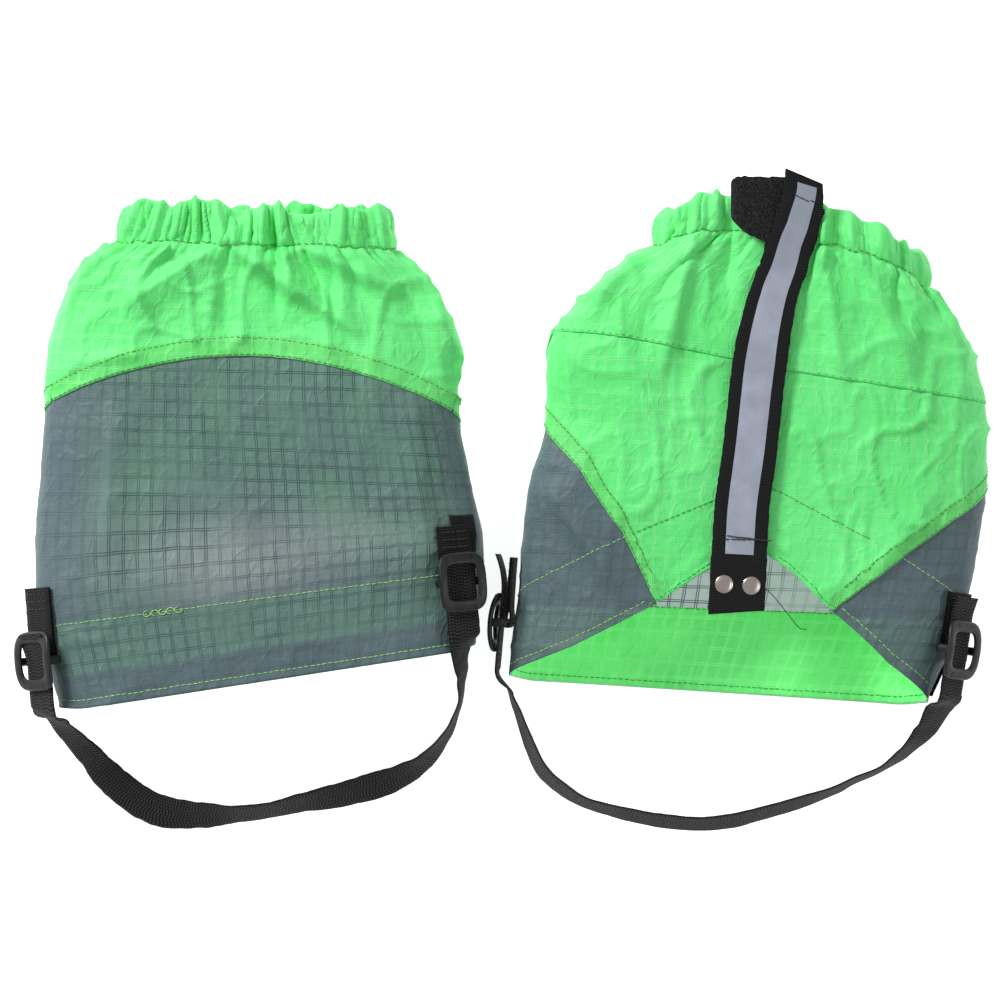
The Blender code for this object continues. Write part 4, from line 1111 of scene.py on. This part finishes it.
def closure(gaiter):
    """The front flap and its tapes, the tab with two rivets and the lace hook behind it."""
    name = gaiter.name
    gaiter_body, flap_body, tab_body = f"{name}_gaiter", f"{name}_closure", f"{name}_tab"
    # Loop tape on the cloth; face up, its top end has swung out from under the flap.
    top = 0.925 if gaiter.facing > 0 else 0.95
    _, points, across, lift = on_front(gaiter, 0.05, top, 0.0014)
    made = band(f"{name}_loop_strip", points, across, lift, TAPE_WIDTH + 0.002, 0.0010, 17, 0.0004, seed=4)
    done(made, LOOPS, gaiter_body, (f"{name}_loop_tape",))
    if gaiter.facing > 0:
        loop_end(gaiter)
    _, points, across, lift = on_front(gaiter, 0.06, 0.90, 0.0027)
    made = band(f"{name}_hook_strip", points, across, lift, TAPE_WIDTH, 0.0009, 9)
    done(made, LOOPS, flap_body, (f"{name}_hook_tape",))
    foot, upward = flap(gaiter)
    across, lift = reflector(gaiter, upward, flap_body)
    rivets(gaiter, foot, upward, across, lift, tab_body)


def flap(gaiter):
    """Flap and tab, one length of webbing.

    Gives the foot of the flap and the direction up along it.
    """
    share, points, across, lift = on_front(gaiter, 0.0, 1.0, FLAP_AT + FLAP_THICK / 2)
    upward = unit(points[12] - points[0])
    foot = points[0].copy()
    drop = np.linspace(TAB_LENGTH, 0.0006, TAB_ROWS)
    tail = foot - upward * drop[:, None]
    curl = 0.0006 * (drop / TAB_LENGTH) ** 2 * (0.4 if gaiter.facing < 0 else 1.0)
    tail += lift[0] * curl[:, None]
    all_points = np.concatenate([tail, points])
    all_lift = np.concatenate([np.repeat(lift[:1], TAB_ROWS, 0), lift])
    all_across = unit(np.cross(unit(np.gradient(all_points, axis=0)), all_lift))
    flap_width = np.interp(share, [0, 0.55, 0.75, 0.93, 1.0], [0.0258, 0.0252, 0.0212, 0.0200, 0.0176])
    width = np.concatenate([np.full(TAB_ROWS, TAB_WIDTH), flap_width])
    # Both ends are cut a little askew.
    slant = np.concatenate([0.12 * (drop / TAB_LENGTH) ** 4, -0.38 * smoothstep(0.9, 1.0, share)])
    shape = {"width": width, "thick": FLAP_THICK, "columns": 23, "rag": 0.0002, "seed": 11, "slant": slant}
    made = band(f"{gaiter.name}_flap_webbing", all_points, all_across, all_lift, **shape)
    made.data.materials.append(WEBBING)
    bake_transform(made)
    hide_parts(f"{gaiter.name}_closure_flap", f"{gaiter.name}_hook_tab")
    return foot, upward


def reflector(gaiter, upward, body):
    """Reflective tape on the flap, narrower towards its top, and the stitching at both its ends.

    Gives the directions across the tape's foot and out of it.
    """
    face = FLAP_AT + FLAP_THICK + 0.00025
    aside = 0.0014 * smoothstep(0.9, 1.0, np.linspace(0, 1, FLAP_ROWS))
    share, points, across, lift = on_front(gaiter, 0.006, 0.977, face, aside)
    width = np.interp(share, [0, 0.5, 0.75, 1.0], [0.0132, 0.0138, 0.0112, 0.0088])
    slant = -0.28 * smoothstep(0.88, 0.97, share)
    name = f"{gaiter.name}_reflector"
    made = band(name, points, across, lift, width, 0.0004, 9, 0.00004, seed=21, slant=slant)
    done(made, REFLECTOR, body, (f"{gaiter.name}_reflective_tape",))
    parts = []
    for row, half_length, seed in ((12, 0.0080, 31), (-12, 0.0056, 32)):
        line = np.linspace(-half_length, half_length, 60)[:, None] * across[row]
        line += points[row] + lift[row] * 0.0004
        fall = np.linspace(0.0016, -0.0016, 60) if row < 0 else np.zeros(60)
        line += upward * (fall + 0.0004 * lumps(np.linspace(0, 5, 60), np.zeros(60), seed))[:, None]
        parts += stitch_parts(line, np.repeat(lift[:1], 60, 0), 0.0026, 0.0024, 0.00026, 0.0002, seed)
    # One long thread lies across the lower stitching.
    line = np.array([-0.0062, -0.001, 0.004, 0.009, 0.0145])[:, None] * across[13]
    line += points[13] + lift[13] * 0.0005
    line += np.array([0.0009, 0.0003, 0.0001, -0.0004, -0.0006])[:, None] * upward
    parts.append(tube(line, 0.0003, 6))
    done(bundle(f"{gaiter.name}_flap_stitches", parts), BLACK_THREAD, body)
    return across[0], lift[0]


def lathe(name, profile, centre, lift, across, sides=40):
    """A turned shape: profile is (radius, height) pairs."""
    forward = np.cross(lift, across)
    points = []
    for radius, height in profile:
        for k in range(sides):
            turn = 2 * pi * k / sides
            ring = across * radius * cos(turn) + forward * radius * sin(turn)
            points.append(centre + ring + lift * height)
    return face_out(mesh_object(name, points, ring_faces(len(profile), sides)))


def rivets(gaiter, foot, upward, across, lift, body):
    """Two domed rivets through the tab, the lace hook behind it and, face up, a loose thread."""
    name = gaiter.name
    # The dome of a cap, as shares of its radius with heights in metres.
    dome = [(0.98, 0.0), (1.0, 0.0003), (0.99, 0.0006), (0.93, 0.0009), (0.84, 0.0011), (0.8, 0.00108)]
    dome += [(0.74, 0.0012), (0.5, 0.00138), (0.25, 0.00145)]
    profile = [(RIVET_RADIUS * share, height) for share, height in dome] + [(0.0001, 0.00147)]
    for number, side in ((1, -0.5), (2, 0.5)):
        centre = foot - upward * RIVET_DROP + across * side * RIVET_PITCH + lift * (FLAP_THICK / 2 - 0.0002)
        cap = lathe(f"{name}_rivet_{number}", profile, centre, lift, across)
        done(cap, NICKEL, body, (f"{name}_rivet_cap_{number}",))
        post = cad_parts[f"{name}_rivet_post_{number}"]
        post.data.materials.clear()
        post.data.materials.append(NICKEL)
    # Lace hook: a plate behind the tab, bent back on itself below the rivets.
    plate = -FLAP_THICK / 2 - 0.0008
    shape = [(-0.0055, 0.0), (-0.0130, 0.0), (-0.0205, 0.0), (-0.0232, -0.0005), (-0.0245, -0.0020)]
    shape += [(-0.0243, -0.0038), (-0.0228, -0.0051), (-0.0200, -0.0055), (-0.0160, -0.0051)]
    line = smooth_line([(0.0, y, z + plate) for y, z in shape], 90)
    centre = foot + line[:, 1:2] * upward + line[:, 2:3] * lift
    tangent = unit(np.gradient(centre, axis=0))
    sides = np.tile(across, (len(centre), 1))
    width = np.interp(np.linspace(0, 1, 90), [0.0, 0.6, 0.8, 1.0], [0.0185, 0.0180, 0.0120, 0.0090])
    made = band(f"{name}_boot_hook", centre, sides, unit(np.cross(sides, tangent)), width, 0.0008, 9, 0.0)
    done(made, NICKEL, body, (f"{name}_lace_hook",))
    if gaiter.facing > 0:
        # A loose end of thread that hangs beside the right rivet.
        offsets = [(0.0098, -0.0125), (0.0125, -0.0140), (0.0160, -0.0165)]
        offsets += [(0.0235, -0.0245), (0.0300, -0.0315), (0.0335, -0.0322)]
        path = [foot + across * x + upward * y + lift * (0.0012 - 9 * x * x) for x, y in offsets]
        thread = bundle(f"{name}_loose_thread", [tube(smooth_line(path, 40), 0.00022, 6)])
        done(thread, BLACK_THREAD, body)


def smooth_line(points, count):
    """Points spread evenly along a smooth curve through the given ones."""
    points = np.asarray(points, float)
    steps = lengths_along(points)
    table = np.concatenate([steps[:, None], points], 1)
    return hermite(table, np.linspace(0, steps[-1], count))


def leg_frame(gaiter, leg, side):
    """Middle of a buckle on its strap, with across, upward and outward directions."""
    lean = radians(leg["lean"])
    angle = radians(gaiter.heading + leg["turn"])
    down = np.array([sin(angle), -cos(angle), 0.0])
    outward = np.array([side * cos(lean) * -down[1], side * cos(lean) * down[0], sin(lean)])
    upward = -down
    across = np.cross(upward, outward)
    middle = np.array([gaiter.x + leg["x"], gaiter.y + leg["y"], leg["z"]])
    return middle, across, upward, outward


def in_frame(placed, x, y, z):
    """Points in a buckle's own frame: across, up the strap and out of it."""
    middle, across, upward, outward = placed
    x, y, z = np.broadcast_arrays(np.asarray(x, float), np.asarray(y, float), np.asarray(z, float))
    return middle + x[..., None] * across + y[..., None] * upward + z[..., None] * outward


def superellipse(half_width, half_length, power, steps):
    """Points of a rounded rectangle; a higher power makes squarer corners."""
    turn = np.arange(steps) * 2 * pi / steps
    x = half_width * np.sign(np.cos(turn)) * np.abs(np.cos(turn)) ** (2 / power)
    y = half_length * np.sign(np.sin(turn)) * np.abs(np.sin(turn)) ** (2 / power)
    return x, y


def buckle(name, placed, body, node):
    """A moulded slider: an arched ring with rounded edges, two legs and the bar behind the strap."""
    steps, corners = 96, 16
    outer_x, outer_y = superellipse(BUCKLE_HALF_WIDTH + 0.0012, BUCKLE_HALF_LENGTH + 0.0002, 4.2, steps)
    inner_x, inner_y = superellipse(WINDOW_HALF_WIDTH - 0.0009, WINDOW_HALF_LENGTH - 0.0012, 5.0, steps)
    turn = np.arange(corners) * 2 * pi / corners
    wide = np.sign(np.cos(turn)) * np.abs(np.cos(turn)) ** 0.55
    tall = np.sign(np.sin(turn)) * np.abs(np.sin(turn)) ** 0.55
    share = (wide + 1) / 2
    x = inner_x[:, None] + (outer_x - inner_x)[:, None] * share[None, :]
    y = inner_y[:, None] + (outer_y - inner_y)[:, None] * share[None, :]
    middle = STRAP_THICK / 2 + GAP + 0.0010
    z = middle + 0.0011 * tall[None, :] + BUCKLE_ARCH * (1 - (y / BUCKLE_HALF_LENGTH) ** 2)
    points = in_frame(placed, x, y, z).reshape(-1, 3)
    faces = []
    for row in range(steps):
        after = (row + 1) % steps
        for k in range(corners):
            n = (k + 1) % corners
            faces.append((row * corners + k, row * corners + n, after * corners + n, after * corners + k))
    parts = [(points, faces)]
    for side in (-1, 1):
        x_mid = side * (WINDOW_HALF_WIDTH + BUCKLE_HALF_WIDTH + 0.0006) / 2
        path = in_frame(placed, x_mid, 0.0, np.linspace(-BAR_DEPTH - 0.0009, middle + 0.0022, 6))
        parts.append(tube(path, 0.00105, 12, 1.9, np.tile(placed[2], (6, 1))))
    reach = WINDOW_HALF_WIDTH + 0.0008
    bar = in_frame(placed, np.linspace(-reach, reach, 5), 0.0, -BAR_DEPTH)
    parts.append(tube(bar, BAR_RADIUS, 16))
    # Grip ribs moulded on both rails.
    for side in (-1, 1):
        for step in (-1, 0, 1):
            y_at = side * (BUCKLE_HALF_LENGTH + WINDOW_HALF_LENGTH) / 2 + step * 0.0010
            z_at = middle + 0.0011 + BUCKLE_ARCH * (1 - (y_at / BUCKLE_HALF_LENGTH) ** 2)
            rib = in_frame(placed, np.linspace(-0.0058, 0.0058, 7), y_at, z_at - 0.0001)
            parts.append(tube(rib, 0.00028, 8))
    done(face_out(bundle(name, parts)), PLASTIC, body, (node,))


def anchor(name, placed, reach, body, node):
    """Webbing folded round the bar and sewn to the side of the gaiter."""
    radius = BAR_RADIUS + GAP + LOOP_THICK / 2
    turn = np.linspace(pi / 2, 3 * pi / 2, 15)
    lap = LOOP_THICK / 2 + 0.0001
    ys = [reach, reach * 0.8, reach * 0.6, 0.0075, 0.0040]
    ys += list(radius * np.cos(turn)) + [0.0040, 0.0075, reach * 0.6, reach * 0.8, reach]
    zs = [lap, lap, lap + 0.0001, lap + 0.0004, radius * 0.93]
    zs += list(radius * np.sin(turn)) + [-radius * 0.93, -lap - 0.0004, -lap - 0.0001, -lap, -lap]
    line = smooth_line(np.stack([np.zeros(len(ys)), ys, zs], 1), 150)
    points = in_frame(placed, line[:, 0], line[:, 1], line[:, 2] - BAR_DEPTH)
    tangent = unit(np.gradient(points, axis=0))
    across = np.tile(placed[1], (len(points), 1))
    lift = unit(np.cross(across, tangent))
    made = band(name, points, across, lift, STRAP_WIDTH, LOOP_THICK, 13, 0.00018, seed=51)
    done(made, WEBBING, body, (node,))
    parts = []
    for y_at in (reach - 0.003, reach - 0.0065, reach - 0.010):
        path = in_frame(placed, np.linspace(-0.0068, 0.0068, 40), y_at, -BAR_DEPTH + LOOP_THICK + 0.00035)
        parts += stitch_parts(path, np.tile(placed[3], (40, 1)), 0.0024, 0.0021, 0.00024, 0.0002, 52)
    done(bundle(f"{name}_stitches", parts), BLACK_THREAD, body)


def strap_line(gaiter):
    """Middle line of the instep strap with its face directions, tail to tail."""
    legs = gaiter.legs
    frames = [leg_frame(gaiter, leg, side) for leg, side in zip(legs, (-1, 1))]
    downs = [-placed[2] for placed in frames]
    knots = [frames[0][0] + downs[0] * legs[0]["straight"]]
    knots += [np.array([gaiter.x + x, gaiter.y + y, z]) for x, y, z, _ in gaiter.strap]
    knots.append(frames[1][0] + downs[1] * legs[1]["straight"])
    leans = [legs[0]["lean"]] + [lean for _, _, _, lean in gaiter.strap] + [legs[1]["lean"]]
    points, lean_of = [], []
    for index in range(len(knots) - 1):
        here, there = knots[index], knots[index + 1]
        reach = np.linalg.norm(there - here)
        first = downs[0] * reach * 1.1 if index == 0 else (there - knots[index - 1]) / 2
        last = index == len(knots) - 2
        second = -downs[1] * reach * 1.1 if last else (knots[index + 2] - here) / 2
        for t in np.linspace(0, 1, 15)[: None if last else -1]:
            point = (2 * t**3 - 3 * t**2 + 1) * here + (3 * t**2 - 2 * t**3) * there
            point = point + (t**3 - 2 * t**2 + t) * first + (t**3 - t**2) * second
            points.append(point)
            lean_of.append(leans[index] + (leans[index + 1] - leans[index]) * t * t * (3 - 2 * t))
    tails = []
    for leg, placed, down in zip(legs, frames, downs):
        away = np.linspace(leg["tail"], -leg["straight"] * 0.93, 60)
        tails.append(placed[0][None, :] - down * away[:, None])
    points = np.concatenate([tails[0], np.array(points), tails[1][::-1]])
    lean_of = np.concatenate([np.full(60, legs[0]["lean"]), lean_of, np.full(60, legs[1]["lean"])])
    return points, lean_of


def stirrup(gaiter):
    """Side webbings, anchor loops, buckles and the strap that goes under the boot."""
    name = gaiter.name
    gaiter_body, swing_body, strap_body = f"{name}_gaiter", f"{name}_stirrup", f"{name}_strap"
    for leg, side, label in zip(gaiter.legs, (-1, 1), ("left", "right")):
        low, high = leg["shown"]
        start, end = leg["band"]
        up, around = patch(start, end, lambda a: a * 0 + low, lambda a: a * 0 + high)
        outer = leg["band_at"]
        made = cloth_piece(f"{name}_side_band_{label}", gaiter, up, around, outer, outer - 0.0010)
        done(made, WEBBING, gaiter_body, (f"{name}_side_webbing_{label}",))
        placed = leg_frame(gaiter, leg, side)
        buckle(f"{name}_buckle_{label}", placed, swing_body, f"{name}_slider_buckle_{label}")
        anchor(f"{name}_anchor_{label}", placed, leg["reach"], swing_body, f"{name}_anchor_loop_{label}")
    points, lean_of = strap_line(gaiter)
    tangent = unit(np.gradient(points, axis=0))
    lean = np.radians(lean_of)
    outside = unit(np.stack([tangent[:, 1], -tangent[:, 0], 0 * lean], -1))
    face = outside * np.cos(lean)[:, None] + np.array([0.0, 0.0, 1.0]) * np.sin(lean)[:, None]
    across = unit(np.cross(tangent, face))
    face = unit(np.cross(across, tangent))
    steps = lengths_along(points)
    # The loose tails curl outwards from the buckles.
    tail = np.maximum(0.018 - steps, 0) + np.maximum(steps - steps[-1] + 0.012, 0)
    points = points + face * (14.0 * tail**2)[:, None]
    made = band(f"{name}_strap_webbing", points, across, face, STRAP_WIDTH, 0.0012, 17, 0.00022, seed=61)
    done(made, STRAP, strap_body, (f"{name}_instep_strap",))


LEFT_LEGS = (
    {
        "x": -0.1062, "y": 0.0071, "z": 0.0385, "lean": 48, "turn": 0, "tail": 0.0125, "straight": 0.0212,
        "reach": 0.034, "band": (0.50, 0.56), "shown": (0.03, 0.19), "band_at": -0.0014,
    },
    {
        "x": 0.0904, "y": 0.0439, "z": 0.0468, "lean": 68, "turn": 0, "tail": 0.0125, "straight": 0.0222,
        "reach": 0.0265, "band": (1.40, 1.455), "shown": (0.03, 0.33), "band_at": 0.0020,
    },
)
RIGHT_LEGS = (
    {
        "x": -0.1014, "y": 0.0312, "z": 0.0215, "lean": -8, "turn": 0, "tail": 0.032, "straight": 0.0215,
        "reach": 0.031, "band": (1.47, 1.53), "shown": (0.03, 0.27), "band_at": -0.0014,
    },
    {
        "x": 0.1114, "y": 0.0188, "z": 0.0345, "lean": 44, "turn": -3, "tail": 0.025, "straight": 0.0210,
        "reach": 0.0265, "band": (0.488, 0.545), "shown": (0.015, 0.17), "band_at": 0.0020,
    },
)
# Loose strap between the buckles: x, y, height and lean.
LEFT_STRAP = (
    (-0.0984, -0.0215, 0.0235, 38),
    (-0.0910, -0.0302, 0.0160, 44),
    (-0.0829, -0.0392, 0.0120, 52),
    (-0.0759, -0.0476, 0.0095, 68),
    (-0.0680, -0.0547, 0.0075, 72),
    (-0.0597, -0.0606, 0.0065, 75),
    (-0.0504, -0.0647, 0.0060, 75),
    (-0.0404, -0.0660, 0.0065, 62),
    (-0.0310, -0.0664, 0.0075, 52),
    (-0.0143, -0.0658, 0.0090, 33),
    (0.0008, -0.0639, 0.0090, 30),
    (0.0153, -0.0605, 0.0090, 36),
    (0.0316, -0.0574, 0.0080, 48),
    (0.0514, -0.0521, 0.0078, 56),
    (0.0627, -0.0476, 0.0085, 46),
    (0.0736, -0.0408, 0.0100, 32),
    (0.0829, -0.0297, 0.0130, 18),
    (0.0880, -0.0190, 0.0180, 9),
    (0.0908, -0.0095, 0.0240, 6),
    (0.0915, 0.0010, 0.0310, 22),
    (0.0912, 0.0100, 0.0380, 36),
)
RIGHT_STRAP = (
    (-0.0978, -0.0005, 0.0155, 4),
    (-0.0938, -0.0110, 0.0120, 12),
    (-0.0873, -0.0287, 0.0095, 20),
    (-0.0818, -0.0393, 0.0090, 24),
    (-0.0729, -0.0473, 0.0088, 24),
    (-0.0629, -0.0534, 0.0090, 20),
    (-0.0519, -0.0569, 0.0090, 22),
    (-0.0419, -0.0594, 0.0088, 26),
    (-0.0328, -0.0613, 0.0086, 26),
    (-0.0243, -0.0626, 0.0086, 28),
    (-0.0084, -0.0639, 0.0086, 27),
    (0.0068, -0.0625, 0.0086, 29),
    (0.0213, -0.0589, 0.0086, 26),
    (0.0368, -0.0545, 0.0088, 25),
    (0.0549, -0.0483, 0.0090, 17),
    (0.0647, -0.0434, 0.0095, 14),
    (0.0773, -0.0380, 0.0100, 12),
    (0.0887, -0.0296, 0.0125, 24),
    (0.0985, -0.0187, 0.0175, 44),
    (0.1040, -0.0085, 0.0255, 58),
)
# Long folds pressed into the cloth: side of the tube, two ends from the gaiter's own place,
# softness to the left and right of the line, height.
LEFT_CREASES = (
    (True, -0.0609, 0.1765, -0.0175, 0.2034, 0.0040, 0.0110, 0.0030),
    (True, -0.0175, 0.2034, 0.0146, 0.1765, 0.0090, 0.0040, 0.0028),
    (True, 0.0040, 0.2100, 0.0050, 0.1765, 0.0022, 0.0030, -0.0022),
    (True, 0.0231, 0.1978, 0.0571, 0.1812, 0.0090, 0.0040, 0.0030),
    (True, -0.0075, 0.1945, 0.0396, 0.1624, 0.0080, 0.0035, 0.0026),
    (True, -0.0608, 0.1812, -0.0528, 0.1624, 0.0030, 0.0070, 0.0020),
    (True, -0.0240, 0.1800, -0.0250, 0.1660, 0.0028, 0.0050, 0.0016),
    (True, 0.0750, 0.1700, 0.0860, 0.1500, 0.0060, 0.0030, 0.0024),
    (True, -0.0700, 0.1200, -0.0740, 0.0600, 0.0100, 0.0060, 0.0014),
    (True, 0.0680, 0.1250, 0.0760, 0.0500, 0.0060, 0.0110, 0.0018),
)
RIGHT_CREASES = (
    (False, -0.0330, 0.2050, -0.0560, 0.1780, 0.0040, 0.0080, 0.0028),
    (False, -0.0100, 0.2060, -0.0260, 0.1500, 0.0035, 0.0080, 0.0026),
    (False, 0.0060, 0.2080, 0.0040, 0.1700, 0.0030, 0.0050, -0.0018),
    (False, 0.0620, 0.2000, 0.0880, 0.1500, 0.0080, 0.0040, 0.0028),
    (False, 0.0800, 0.1900, 0.1100, 0.1600, 0.0060, 0.0040, 0.0024),
    (False, 0.0480, 0.2060, 0.0560, 0.1500, 0.0060, 0.0035, 0.0020),
    (False, -0.0760, 0.0900, -0.0480, 0.0480, 0.0100, 0.0050, 0.0018),
    (False, 0.0980, 0.0900, 0.0700, 0.0500, 0.0060, 0.0100, 0.0016),
)

left = Gaiter("left", -0.1104, -0.0763, HALF_HEIGHT + CAP_TOP, -1, LEFT_STATIONS, 5.0, LEFT_CREASES, 101)
right = Gaiter("right", 0.1008, -0.0829, HALF_HEIGHT + CLOTH, 1, RIGHT_STATIONS, -5.0, RIGHT_CREASES, 202)
left.legs, left.strap = LEFT_LEGS, LEFT_STRAP
right.legs, right.strap = RIGHT_LEGS, RIGHT_STRAP
for gaiter in (left, right):
    body_of_cloth(gaiter)
    closure(gaiter)
    stirrup(gaiter)


TABLE_SIZE = 6
# Area lights: name, place, size and power in watts.
LIGHTS = (
    ("key", (-1.25, 1.15, 1.15), 0.50, 40.0),
    ("fill", (1.5, -0.4, 1.5), 1.2, 9.0),
)
WORLD_LIGHT = 0.42
# Lens and sensor width in millimetres, and the camera's place straight above.
LENS = 228
SENSOR = 36
CAMERA_PLACE = (-0.0009, 0.0054, 3.0)


def stage():
    """A white table under soft, wide light, seen from straight above."""
    look = Look("table")
    diffuse = look.node("BsdfDiffuse", {"Color": (0.9, 0.9, 0.9, 1)}).outputs[0]
    glow = look.node("Emission", {"Color": (1, 1, 1, 1), "Strength": 0.80}).outputs[0]
    white = look.finish(look.node("AddShader", {0: diffuse, 1: glow}).outputs[0])
    bpy.ops.mesh.primitive_plane_add(size=TABLE_SIZE, location=(0, 0, 0))
    table = bpy.context.active_object
    table.name = "table"
    table.data.materials.append(white)
    for label, place, size, power in LIGHTS:
        data = bpy.data.lights.new(label, "AREA")
        data.size = size
        data.energy = power
        light = bpy.data.objects.new(label, data)
        light.location = place
        light.rotation_euler = (-Vector(place)).to_track_quat("-Z", "Y").to_euler()
        bpy.context.scene.collection.objects.link(light)
    world = bpy.data.worlds.new("studio")
    world.use_nodes = True
    background = world.node_tree.nodes["Background"]
    background.inputs["Color"].default_value = (1.0, 1.0, 1.0, 1.0)
    background.inputs["Strength"].default_value = WORLD_LIGHT
    bpy.context.scene.world = world
    bpy.context.scene.view_settings.view_transform = "Standard"
    data = bpy.data.cameras.new("camera")
    data.lens = LENS
    data.sensor_width = SENSOR
    camera = bpy.data.objects.new("camera", data)
    camera.location = CAMERA_PLACE
    bpy.context.scene.collection.objects.link(camera)
    bpy.context.scene.camera = camera


stage()
